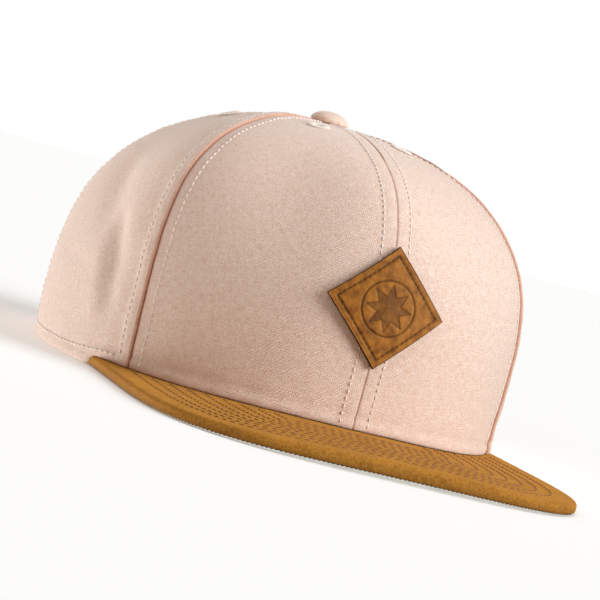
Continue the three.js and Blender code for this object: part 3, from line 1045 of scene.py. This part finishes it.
def sewSeams(thread, settings):
    for seam in (*seams, *(-seam for seam in seams[1:])):
        start = radians(seam)
        bottom = rearArch["height"] if abs(seam) == 180 else hemHeight(start)
        low, high = climbAtHeight(start, bottom + 1), climbAtRadius(start, settings["rowTop"])
        for side in (1, -1):
            if side * seam == 180:
                continue
            track = []
            for share in shares(120):
                climb = mix(low, high, towardsTop(share))
                point, _, rate = wallFrame(start, climb)
                angle = start + side * min(settings["topstitch"], 0.33 * rate) / rate
                track.append(onCloth(angle, climb, point.z - bottom))
            layStitches(thread, track, lift=0.03 if abs(seam) < rearSeam else -0.08)


def sewHem(thread, settings):
    half = peak["halfWidth"]
    first = next(a for a in range(40, 90) if abs(rimPoint(radians(a))[0]) > half - 5)
    foot = angleAtX(rearArch["halfWidth"] + 3, 0)
    for sign in (1, -1):
        track = []
        for share in shares(160):
            angle = sign * mix(radians(first), foot, share)
            side = abs(rimPoint(angle)[0]) if abs(angle) < pi / 2 else crown["halfWidth"]
            height = settings["hemStitch"] + settings["hemRise"] * (1 - smooth(half - 4, half + 8, side))
            track.append(onCloth(angle, climbAtHeight(angle, height), height - hemHeight(angle)))
        layStitches(thread, track, **settings["hemRow"])
    for away in settings["archRows"]:
        track = []
        for share in shares(160)[3:-3]:
            x, z = archEdge(archTurnAt(2 * min(share, 1 - share)))
            scale = away / 45
            x, z = copysign(x, 0.5 - share) * (1 + scale), z * (1 + scale * 0.8)
            angle = rearAngle(x, z)
            track.append(onCloth(angle, climbAtHeight(angle, z), away))
        layStitches(thread, track)


makeCrown()
print("crown panels made")
topstitching = newThread()
sewSeams(topstitching, panelSettings)
sewHem(topstitching, panelSettings)
makeThread("topstitching", topstitching, paleThread)
print("topstitching sewn")

# Peak: suede over the top and round the edge, twill under it

peakSettings = {
    "topRound": 1.4,
    "lowRound": 0.8,
    "lip": 1.0,
    "lining": 1.4,
    "rows": 16,
    "columns": 160,
    "firstRow": 9,
    "rowGap": 5,
    "rowCount": 9,
    "underRow": {"pitch": 2.6, "length": 1.6, "radius": 0.24, "lift": -0.13},
    "topRow": {"pitch": 3.0, "length": 2.2, "radius": 0.22},
    "edgeRow": {"pitch": 1.5, "length": 1.0, "radius": 0.17},
}
down, upright = Vector((0, 0, -1)), Vector((0, 0, 1))


def resample(line, count):
    reach = reachAlong(line)
    spots = []
    for share in shares(count):
        k, part = stepAt(reach, reach[-1] * share)
        spots.append((mix(line[k - 1][0], line[k][0], part), mix(line[k - 1][1], line[k][1], part)))
    return spots


def peakOutline(inset, count):
    # from the wearer's left side of the rim round the front to the right, an inset in from the edge
    half = peak["halfWidth"] - inset
    reach = peak["frontReach"] - inset
    tip = crossing(0.3, pi / 2, lambda turn: rimInside(turn, crown["wall"])[0] - half)
    start = rimInside(tip, crown["wall"])[1]
    line = [(half, mix(start, peak["centre"], share)) for share in shares(20)[:-1]]
    power = 2 / peak["cornerPower"]
    for turn in (pi * share for share in shares(300)):
        x, forward = half * signedPower(cos(turn), power), reach * max(0, sin(turn)) ** power
        line.append((x, peak["centre"] - forward))
    line += [(-half, mix(peak["centre"], start, share)) for share in shares(20)[1:]]
    return resample(line, count), tip


def peakBackLine(tip, count):
    return resample([rimInside(mix(tip, -tip, share), crown["wall"]) for share in shares(300)], count)


def planNormals(line):
    normals = []
    for before, after in zip((line[0], *line), (*line[1:], line[-1])):
        along = Vector((after[0] - before[0], after[1] - before[1])).normalized()
        normals.append(Vector((-along.y, along.x)))
    return normals


def peakPoint(spot, height):
    return Vector((spot[0], spot[1], peakLift(spot[0]) + height))


def makePeakCover(settings):
    outline, tip = peakOutline(0, settings["columns"])
    back = peakBackLine(tip, settings["columns"])
    pocket = settings["lining"] + 0.3
    points, uvs, marks, faces, sections = [], [], [], [], []
    for edge, heel, normal in zip(map(Vector, outline), map(Vector, back), planNormals(outline)):
        width = max(0.5, (edge - heel).length)
        top = peakThickness(edge.x)
        topRound = min(settings["topRound"], width * 0.45)
        lowRound = min(settings["lowRound"], width * 0.3)
        lip = min(settings["lip"], width * 0.4)
        crest = edge - normal * topRound
        # the mark sets painted shade: none on top, more over the lower round of the edge, full on the lip
        # tucked under
        section = []  # of (place, height, mark), from the crown over the edge and back under it
        for share in shares(settings["rows"]):
            spot = heel.lerp(crest, share)
            section.append((spot, peakThickness(spot.x), 0))
        for share in shares(5)[1:]:
            sine, cosine = sin(pi / 2 * share), cos(pi / 2 * share)
            section.append((crest + normal * topRound * sine, top - topRound * (1 - cosine), 0.1 * share))
        for share in shares(4):
            sine, cosine = sin(pi / 2 * share), cos(pi / 2 * share)
            out = lowRound * (1 - cosine)
            section.append((edge - normal * out, lowRound * (1 - sine), 0.35 + 0.6 * share))
        inner = edge - normal * max(lip, lowRound)
        section += [(inner, 0.08, 1), (inner, pocket, 1), (heel, pocket, 0)]
        sections.append([len(points) + step for step in range(len(section))])
        points += [peakPoint(spot, height) for spot, height, _ in section]
        uvs += [(spot.x, spot.y) for spot, _, _ in section]
        marks += [mark for _, _, mark in section]
    for first, second in zip(sections, sections[1:]):
        for step in range(len(first)):
            after = (step + 1) % len(first)
            faces.append((first[step], first[after], second[after], second[step]))
    faces += [tuple(sections[0]), tuple(reversed(sections[-1]))]
    thing = makeObject("peak_cover_suede", points, faces, uvs, marks)
    finishPiece(thing, suede, ("peak_cover",))


def makePeakLining(settings):
    outline, tip = peakOutline(settings["lip"] + 0.3, settings["columns"])
    back = peakBackLine(tip, settings["columns"])

    def place(share, edge, heel):
        spot = heel.lerp(edge, share)
        toEdge = (edge - spot).length
        dip = 0.1 * noise.noise(Vector((spot.x, spot.y, 3)) * 0.08)
        worn = 0.5 * bell(toEdge - 6, 5) * smooth(-0.2, 0.5, noise.noise(Vector((spot.x, spot.y, 1)) * 0.2))
        return peakPoint(spot, 0.12 + dip * smooth(0, 3, toEdge)), down, (spot.y, spot.x), worn

    lines = list(zip(map(Vector, outline), map(Vector, back)))
    sheet = [[place(share, *ends) for ends in lines] for share in evenShares(60, 2.4, (0.5, 1.2))]
    thing = makeShell("peak_lining_twill", sheet, settings["lining"], edge=0.4)
    finishPiece(thing, peakTwill, ("peak_lining",))


def sewPeak(settings):
    outline, _ = peakOutline(0, 400)
    outward = planNormals(outline)
    under, over, seam = newThread(), newThread(), newThread()

    def inwardLine(inset):
        return [Vector(spot) - normal * inset for spot, normal in zip(outline, outward)]

    def onPeak(place, inset):
        # clear of the edge on both sides, and outside the crown
        clear = min(dist(place, other) for other in outline[::3]) > inset - 0.4
        return clear and place.length > hypot(*rimPoint(atan2(place.x, -place.y))) + 1.2

    for row in range(settings["rowCount"]):
        inset = settings["firstRow"] + row * settings["rowGap"]
        for free, run in itertools.groupby(inwardLine(inset), lambda place: onPeak(place, inset)):
            run = list(run)
            if free and len(run) > 5:
                below = [(peakPoint(spot, 0.1), down) for spot in run]
                above = [(peakPoint(spot, peakThickness(spot.x)), upright) for spot in run]
                layStitches(under, below, **settings["underRow"])
                layStitches(over, above, **settings["topRow"])
    track = [(peakPoint(spot, 0.1), down) for spot in inwardLine(settings["lip"] * 0.7)[6:-6]]
    layStitches(seam, track, **settings["edgeRow"])
    makeThread("peak_edge_stitching", seam, darkThread)
    makeThread("peak_stitching_under", under, whiteThread)
    makeThread("peak_stitching_top", over, brownThread)


makePeakCover(peakSettings)
makePeakLining(peakSettings)
sewPeak(peakSettings)
print("peak made")

# Sweatband with its turned edge and stitching

bandSettings = {
    "thickness": 1.4,
    "low": 1.2,
    "rearHeight": 29.5,
    "frontHeight": 34,
    "length": 520,
    "end": 36.5,
    "roomExtra": 1.6,
    "roomFull": 49,
    "roomNone": 60,
    "pipingRadius": 0.65,
    "pipingIn": 0.6,
    "pipingDrop": 0.45,
    "pipingRib": 1.5,
    "pipingSteps": 1400,
    "pipingSides": 8,
    "unevenness": 0.35,
    "folds": [
        ((129, 0), (134, 32), 4.5, 1.3),
        ((137, 0), (139, 32), 3.5, -0.5),
        ((88, 0), (84, 32), 6.0, 0.8),
        ((-128, 0), (-123, 32), 5.0, 1.2),
        ((-140, 0), (-141, 32), 4.0, 0.9),
        ((-107, 0), (-104, 32), 6.0, 0.9),
        ((-60, 0), (-66, 34), 6.0, 0.8),
    ],
    "lowStitch": 3.2,
    "topStitch": 2.6,  # down from the upper edge
    "topStitchTo": 118,
    "longRow": {"pitch": 2.8, "length": 2.0, "radius": 0.2},
    "endRow": {"pitch": 2.4, "length": 1.7, "radius": 0.2},
}


def bandInset(angle, settings):
    x, y = rimPoint(angle)
    nearEnd = smooth(-settings["roomNone"], -settings["roomFull"], -abs(x)) if y > 0 else 0
    return softInset + settings["roomExtra"] * nearEnd + settings["thickness"]


def bandHeight(angle, settings):
    return mix(settings["rearHeight"], settings["frontHeight"], (1 + cos(angle)) / 2)


def bandPoint(angle, height, settings, lift=0.0):
    # a place on the side of the band that the wearer feels
    point, normal, _ = frameAtHeight(angle, rimLift(angle) + height)
    share = height / bandHeight(angle, settings)
    wave = noise.noise(Vector((angle * 9.0, height * 0.02, 5.0)))
    wave += 0.45 * noise.noise(Vector((angle * 21.0, height * 0.05, 1.0)))
    free = smooth(0, 0.35, share) * (1 - 0.5 * smooth(0.8, 1, share))  # it is sewn down along the bottom
    fold = free * (settings["unevenness"] * wave + foldDepth(settings["folds"], angle, height))
    return point - normal * (bandInset(angle, settings) + fold + lift), -normal


def makeSweatband(settings):
    end = angleAtX(settings["end"], 0)
    length = settings["length"]

    def place(up, share):
        angle = mix(-end, end, share)
        height = mix(settings["low"], bandHeight(angle, settings), up)
        return *bandPoint(angle, height, settings), (share * length, height), 0.0

    around = evenShares(length, 1.7, (0.6, 1.4))
    sheet = [[place(up, share) for share in around] for up in evenShares(30, 1.6, (0.5,))]
    thing = makeShell("sweatband_twill", sheet, settings["thickness"], edge=0.6)
    finishPiece(thing, bandTwill, ("sweatband",))


def makePiping(settings):
    # the band's turned edge, which shows all round the rim and has slanting ribs
    end = angleAtX(settings["end"], 0)
    count, sides = settings["pipingSteps"], settings["pipingSides"]
    length = 2 * end * crown["halfWidth"]
    points, uvs, marks = [], [], []
    for k, share in enumerate(shares(count)):
        angle = mix(-end, end, share)
        inset = bandInset(angle, settings) - settings["thickness"] + settings["pipingIn"]
        centre = Vector(rimInside(angle, inset))
        out = (Vector(rimInside(angle, 0)) - centre).normalized().to_3d()
        radius = settings["pipingRadius"]
        middle = centre.to_3d() + upright * (rimLift(angle) * (1 - settings["pipingDrop"]) + radius * 1.05)
        radius *= 0.55 if k in (0, count) else 1
        for side, turn in enumerate(circle(sides)):
            rib = sin(turn + 2 * pi * length * share / settings["pipingRib"])
            offset = out * cos(turn) + upright * sin(turn)
            points.append(middle + offset * radius * (1 + 0.12 * rib))
            uvs.append((length * share, side * 0.7))
            # the mark is painted shade, darkest in the hollows between the twists
            marks.append(0.5 - 0.5 * rib)
    faces = tubeFaces(0, count + 1, sides)
    faces += [tuple(range(sides)), tuple(reversed(range(count * sides, (count + 1) * sides)))]
    thing = makeObject("sweatband_turned_edge", points, faces, uvs, marks)
    finishPiece(thing, pipingTwill)


def sewBand(settings):
    end = angleAtX(settings["end"], 0)
    thread = newThread()
    angles = [mix(-end + 0.01, end - 0.01, share) for share in shares(300)]
    track = [bandPoint(angle, settings["lowStitch"], settings) for angle in angles]
    layStitches(thread, track, **settings["longRow"])
    for sign in (1, -1):
        near = angleAtX(sign * (settings["end"] + 3), 0)
        far = radians(sign * settings["topStitchTo"])
        angles = [mix(near, far, share) for share in shares(60)]
        heights = [bandHeight(angle, settings) - settings["topStitch"] for angle in angles]
        track = [bandPoint(angle, height, settings) for angle, height in zip(angles, heights)]
        layStitches(thread, track, **settings["longRow"])
        top = bandHeight(near, settings) - 1.5
        track = [bandPoint(near, mix(3, top, share), settings) for share in shares(20)]
        layStitches(thread, track, **settings["endRow"])
    makeThread("sweatband_stitching", thread, greyThread)


makeSweatband(bandSettings)
makePiping(bandSettings)
sewBand(bandSettings)
print("sweatband made")

labelSettings = {
    "fromAngle": 97,
    "toAngle": 125.5,
    "low": 3.8,
    "high": 29,
    "length": 42,
    "width": 25,
    "thickness": 0.7,
    "row": {"pitch": 2.4, "length": 1.7, "radius": 0.28},
    "edging": {"pitch": 1.6, "length": 1.2, "radius": 0.26},
}


def makeLabel(settings):
    def place(share, up):
        angle = radians(mix(settings["fromAngle"], settings["toAngle"], share))
        height = mix(settings["low"], settings["high"], up)
        bend = 0.35 * noise.noise(Vector((share * 3, up * 2, 9)))
        return bandPoint(angle, height, bandSettings, settings["thickness"] + 0.3 + bend)

    length, width = settings["length"], settings["width"]
    sheet = []
    for up in evenShares(width, 1.0, (0.4,)):
        around = evenShares(length, 1.0, (0.4,))
        sheet.append([(*place(share, up), (share * length, up * width), 0.0) for share in around])
    thing = makeShell("label_satin", sheet, settings["thickness"], edge=0.25)
    finishPiece(thing, labelSatin, ("sweatband_label",))
    thread, edging = newThread(), newThread()
    for up in (0.07, 0.94):
        layStitches(thread, [place(mix(0.03, 0.97, share), up) for share in shares(60)], **settings["row"])
    for side in (0.012, 0.988):
        layStitches(edging, [place(side, mix(0.02, 0.98, up)) for up in shares(40)], **settings["edging"])
    makeThread("label_stitching", thread, whiteThread)
    makeThread("label_edging", edging, navyThread)


makeLabel(labelSettings)

# Satin tape on the seams inside and round the rear arch

tapeSettings = {
    "width": 13,
    "thickness": 0.8,
    "topRadius": 6,
    "crown": 0.3,
    "stitchShare": 0.8,
    "row": {"pitch": 3.0, "length": 2.2, "radius": 0.2},
}
bindingSettings = {
    "width": 7,
    "length": 110,
    "thickness": 1.0,
    "fromEdge": 0.5,
    "row": {"pitch": 2.8, "length": 2.0, "radius": 0.2},
}


def makeTape(name, seam, fromHeight, settings, thread):
    middle = radians(seam)
    low = climbAtHeight(middle, fromHeight)
    high = climbAtRadius(middle, settings["topRadius"])
    length = (high - low) * crown["halfWidth"]
    neighbour = radians(frontSeam / 2)

    def place(across, up):
        climb = mix(low, high, towardsTop(up))
        rate = wallFrame(middle, climb)[2]
        half = min(settings["width"] / 2 / rate, neighbour - 0.3 / rate)
        point, normal, _ = wallFrame(middle + across * half, climb)
        puff = settings["crown"] * (1 - across**4) + 0.12 * noise.noise(point * 0.12)
        puff -= 0.25 * bell(abs(across) - settings["stitchShare"], 0.09)
        return point - normal * (softInset + settings["thickness"] + puff), -normal

    sheet = []
    for up in evenShares(length, 1.8, (0.5,)):
        acrosses = [mix(-1, 1, share) for share in shares(14)]
        uvs = [(across * settings["width"] / 2, up * length) for across in acrosses]
        sheet.append([(*place(across, up), uv, 0.0) for across, uv in zip(acrosses, uvs)])
    thing = makeShell(name + "_satin", sheet, settings["thickness"])
    finishPiece(thing, satin, (name,))
    for side in (settings["stitchShare"], -settings["stitchShare"]):
        layStitches(thread, [place(side, up) for up in shares(60)[:56]], **settings["row"])


def makeBinding(settings, thread):
    foot = bandHeight(pi, bandSettings) + 2
    start = crossing(0.05, pi / 2, lambda turn: archEdge(turn)[1] - foot)

    def place(along, across):
        turn = mix(start, pi - start, along)
        here, before, after = archEdge(turn), archEdge(turn - nudge), archEdge(turn + nudge)
        outward = Vector((after[1] - before[1], before[0] - after[0])).normalized()
        away = settings["fromEdge"] + settings["width"] * across
        x, z = here[0] + outward.x * away, here[1] + outward.y * away
        point, normal, _ = frameAtHeight(rearAngle(x, z), z)
        puff = 0.35 * sin(pi * across) ** 0.5 - 0.3 * bell(abs(across - 0.5) - 0.36, 0.07)
        return point - normal * (softInset + settings["thickness"] + puff), -normal

    width, length = settings["width"], settings["length"]
    sheet = []
    for across in evenShares(width, 0.6, (0.3,)):
        around = evenShares(length, 1.6, (0.5,))
        sheet.append([(*place(along, across), (across * width, along * length), 0.0) for along in around])
    thing = makeShell("arch_binding_satin", sheet, settings["thickness"])
    finishPiece(thing, satin, ("arch_binding",))
    for across in (0.14, 0.86):
        track = [place(mix(0.01, 0.99, share), across) for share in shares(90)]
        layStitches(thread, track, **settings["row"])


tapeThread = newThread()
for name, seam in (
    ("seam_tape_front", 0),
    ("seam_tape_side_left", frontSeam),
    ("seam_tape_side_right", -frontSeam),
    ("seam_tape_rear_left", rearSeam),
    ("seam_tape_rear_right", -rearSeam),
):
    makeTape(name, seam, bandHeight(radians(seam), bandSettings) + 0.6, tapeSettings, tapeThread)
aboveBinding = rearArch["height"] + bindingSettings["fromEdge"] + bindingSettings["width"] + 1
makeTape("seam_tape_back", 180, aboveBinding, tapeSettings, tapeThread)
makeBinding(bindingSettings, tapeThread)
makeThread("tape_stitching", tapeThread, navyThread)
print("label, tape and binding made")

# Leather patch, a square standing on one corner

patchSettings = {
    "side": 28.9,
    "x": 0.5,
    "z": 47.4,
    "thickness": 2.0,
    "standOff": 1.0,
    "spacing": 0.3,
    "border": 2.3,
    "dash": 1.9,
    "groove": 0.4,
    "starPoints": 8,
    "starRadius": 7.6,
    "starNotch": 0.52,
    "ringGap": 1.5,
}


def patchPress(across, up, settings):
    # depth of the marks pressed into the leather, from 0 to 1, by millimetres from its middle
    inward = settings["side"] / 2 - max(abs(across), abs(up))
    along = (across if abs(up) > abs(across) else up) / settings["dash"]
    dashed = 0.45 + 0.55 * smooth(0.1, 0.3, abs(along % 1 - 0.5) * 2)
    radius = hypot(across, up)
    outer, inner = settings["starRadius"], settings["starRadius"] * settings["starNotch"]
    border, ring = inward - settings["border"], radius - outer - settings["ringGap"]
    press = max(bell(border, 0.36) * dashed, bell(ring, 0.25))
    if radius < outer + 0.4:
        notch = pi / settings["starPoints"]
        swing = abs(atan2(up, across) % (2 * notch) - notch)
        lean = outer * sin(notch - swing) + inner * sin(swing)
        side = sqrt(outer**2 + inner**2 - 2 * outer * inner * cos(notch))
        edge = (radius * lean - outer * inner * sin(notch)) / side  # outside the star's edge
        press = max(press, 0.55 * smooth(0, 0.4, -edge), 0.9 * bell(edge, 0.27))
    return press


def makePatch(settings):
    side = settings["side"]
    halfDiagonal = side * sqrt(0.5)

    def place(up, across):
        flat = ((across - 0.5) * side, (up - 0.5) * side)
        x, z = (flat[0] - flat[1]) * sqrt(0.5), (flat[0] + flat[1]) * sqrt(0.5)
        angle = angleAtX(settings["x"] + x, settings["z"] + z, rear=False)
        point, normal, _ = frameAtHeight(angle, settings["z"] + z)
        press = patchPress(*flat, settings)
        height = 0.3 + settings["standOff"] * (x / halfDiagonal) ** 2
        height += settings["thickness"] - settings["groove"] * press
        atRim = {across, up} & {0, 1}
        return point + normal * height, normal, flat, 0.9 if atRim else 0.85 * press**1.2

    steps = evenShares(side, settings["spacing"], (0.15,))
    sheet = [[place(up, across) for across in steps] for up in steps]
    thing = makeShell("front_patch_leather", sheet, settings["thickness"], edge=0.35)
    finishPiece(thing, leather, ("front_patch",))


makePatch(patchSettings)
print("patch made")

# Snap strap: a band with holes outside, a band with pegs inside

strapSettings = {
    "low": 0.8,
    "height": 16,
    "thickness": 1.0,
    "gap": 0.3,
    "tabEnd": 47,
    "holeTip": -17.5,
    "pegTip": 25,
    "pitch": 8,
    "firstPeg": -29.2,
    "firstHole": -13.2,
    "count": 7,
    "holeRadius": 1.6,
    "pegRadius": 1.2,
    "stepFrom": -20,
    "stepTo": -33,
    "edge": 0.3,
}
roundSides = 20  # of holes and pegs
pegProfile = [(0.86, 0), (0.86, 0.55), (1, 0.7), (1, 0.82), (0.8, 0.95), (0.4, 1)]  # shares of radius and reach


def strapPlace(x, z, inset):
    point, normal, _ = frameAtHeight(rearAngle(x, z), z)
    return point - normal * inset


def pegInset(x):
    # the pegged band steps inwards to pass behind the other
    step = strapSettings["thickness"] + strapSettings["gap"]
    return softInset + step * smooth(strapSettings["stepTo"], strapSettings["stepFrom"], x)


def strapOutline(sewnEnd, tip, settings):
    low, radius = settings["low"], settings["height"] / 2
    centre = tip - copysign(radius, tip - sewnEnd)
    line = [(sewnEnd, low), (centre, low)]
    for turn in (pi * (share - 0.5) for share in shares(24)[1:-1]):
        line.append((centre + (tip - centre) * cos(turn), low + radius + radius * sin(turn)))
    return [*line, (centre, low + 2 * radius), (sewnEnd, low + 2 * radius)]


def makeStrap(name, sewnEnd, tip, otherTip, holes, insetOf, settings):
    # made flat in x and z with its depth in y, then laid on the wall
    radius, hole, thickness = settings["height"] / 2, settings["holeRadius"], settings["thickness"]
    middle = settings["low"] + radius
    rings = [strapOutline(sewnEnd, tip, settings)]
    for x in holes:
        rings.append([(x + hole * cos(t), middle + hole * sin(t)) for t in circle(roundSides)])
    work = bmesh.new()
    edges = []
    for ring in rings:
        corners = [work.verts.new((x, 0, z)) for x, z in ring]
        edges += [work.edges.new((corners[k - 1], corners[k])) for k in (*range(1, len(corners)), 0)]
    bmesh.ops.triangle_fill(work, use_beauty=True, edges=edges)
    low = min(sewnEnd, tip)
    for k in range(1, round(abs(tip - sewnEnd) / 2)):
        whole = [*work.verts, *work.edges, *work.faces]
        bmesh.ops.bisect_plane(work, geom=whole, dist=1e-5, plane_co=(low + 2 * k, 0, 0), plane_no=(1, 0, 0))
    made = bmesh.ops.extrude_face_region(work, geom=list(work.faces))
    for corner in made["geom"]:
        if isinstance(corner, bmesh.types.BMVert):
            corner.co.y = thickness
    spread = work.loops.layers.uv.new("cloth")
    bmesh.ops.recalc_face_normals(work, faces=work.faces)
    sharp = [edge for edge in work.edges if len(edge.link_faces) == 2 and edge.calc_face_angle() > 0.9]
    sharp = [edge for edge in sharp if abs(edge.verts[0].co.y - edge.verts[1].co.y) < 1e-6]
    bmesh.ops.bevel(work, geom=sharp, offset=settings["edge"], segments=2, affect="EDGES", profile=0.6)
    tipMiddle = otherTip - copysign(radius, otherTip)
    for loop in itertools.chain.from_iterable(face.loops for face in work.faces):
        x, _, z = loop.vert.co
        loop[spread].uv = ((tipMiddle - x) * copysign(1, otherTip) / radius, (z - middle) / radius)
    for corner in work.verts:
        x, depth, z = corner.co
        corner.co = inMetres(strapPlace(x, z, insetOf(x) + thickness - depth))
    mesh = bpy.data.meshes.new(name + "_plastic")
    finishMesh(work, mesh)
    # the mark is 1 on the pegged band, where the painted peg shadows go
    pegged = mesh.attributes.new("mark", "FLOAT", "POINT")
    pegged.data.foreach_set("value", [0.0 if holes else 1.0] * len(mesh.vertices))
    finishPiece(addObject(name + "_plastic", mesh), plastic, (name,))


def makePegs(settings):
    middle = settings["low"] + settings["height"] / 2
    gap, thickness = settings["gap"], settings["thickness"]
    points, faces = [], []
    for k in range(settings["count"]):
        x = settings["firstPeg"] + k * settings["pitch"]
        inset = pegInset(x)
        foot = strapPlace(x, middle, inset + 0.3)
        out = (strapPlace(x, middle, inset - 1) - strapPlace(x, middle, inset)).normalized()
        side = out.cross(upright).normalized()
        up = side.cross(out)
        reach = 0.8 + thickness + (gap if x > settings["stepFrom"] else 0)
        base = len(points)
        for width, height in pegProfile:
            spot, radius = foot + out * reach * height, settings["pegRadius"] * width
            points += [spot + (side * cos(t) + up * sin(t)) * radius for t in circle(roundSides)]
        faces += tubeFaces(base, len(pegProfile), roundSides)
        faces += [tuple(range(base, base + roundSides)), tuple(range(len(points) - roundSides, len(points)))]
    finishPiece(makeObject("snap_pegs", points, faces), plastic)


def makeSnapStrap(settings):
    tabEnd, holeTip, pegTip = (settings[key] for key in ("tabEnd", "holeTip", "pegTip"))
    holes = [settings["firstHole"] + k * settings["pitch"] for k in range(settings["count"])]
    makeStrap("strap_with_holes", tabEnd, holeTip, pegTip, holes, lambda x: softInset, settings)
    makeStrap("strap_with_pegs", -tabEnd, pegTip, holeTip, [], pegInset, settings)
    makePegs(settings)


makeSnapStrap(strapSettings)
print("snap strap made")

# Covered button on the top

buttonSettings = {"radius": 7.2, "height": 4.6, "gathers": 14, "shank": 2.9, "shankDepth": 4, "sides": 84}


def makeButton(settings):
    radius, shank, depth, sides = (settings[key] for key in ("radius", "shank", "shankDepth", "sides"))
    profile = [(0.0, -depth, 0), (shank, -depth, 0), (shank, 0.2, 0)]  # radius, height, share of the gathers
    profile += [(radius * 0.8, 0.25, 1), (radius * 0.96, 0.7, 1)]
    for turn, gathered in zip((pi / 2 * share for share in shares(12)), (0.7, 0.3, *[0] * 11)):
        rise = 1.3 + (settings["height"] - 1.0) * sin(turn) ** 1.1
        profile.append((radius * cos(turn), rise, gathered))
    points, uvs = [], []
    for reach, height, gathered in profile:
        for turn in circle(sides):
            width = reach + 0.16 * gathered * sin(turn * settings["gathers"])
            x, y = width * cos(turn), width * sin(turn)
            points.append(Vector((x, crown["topSetBack"] + y, crown["height"] + height)))
            uvs.append((x, y))
    thing = makeObject("top_button_cloth", points, tubeFaces(0, len(profile), sides), uvs)
    finishPiece(thing, cotton, ("top_button",))


makeButton(buttonSettings)
print("button made")
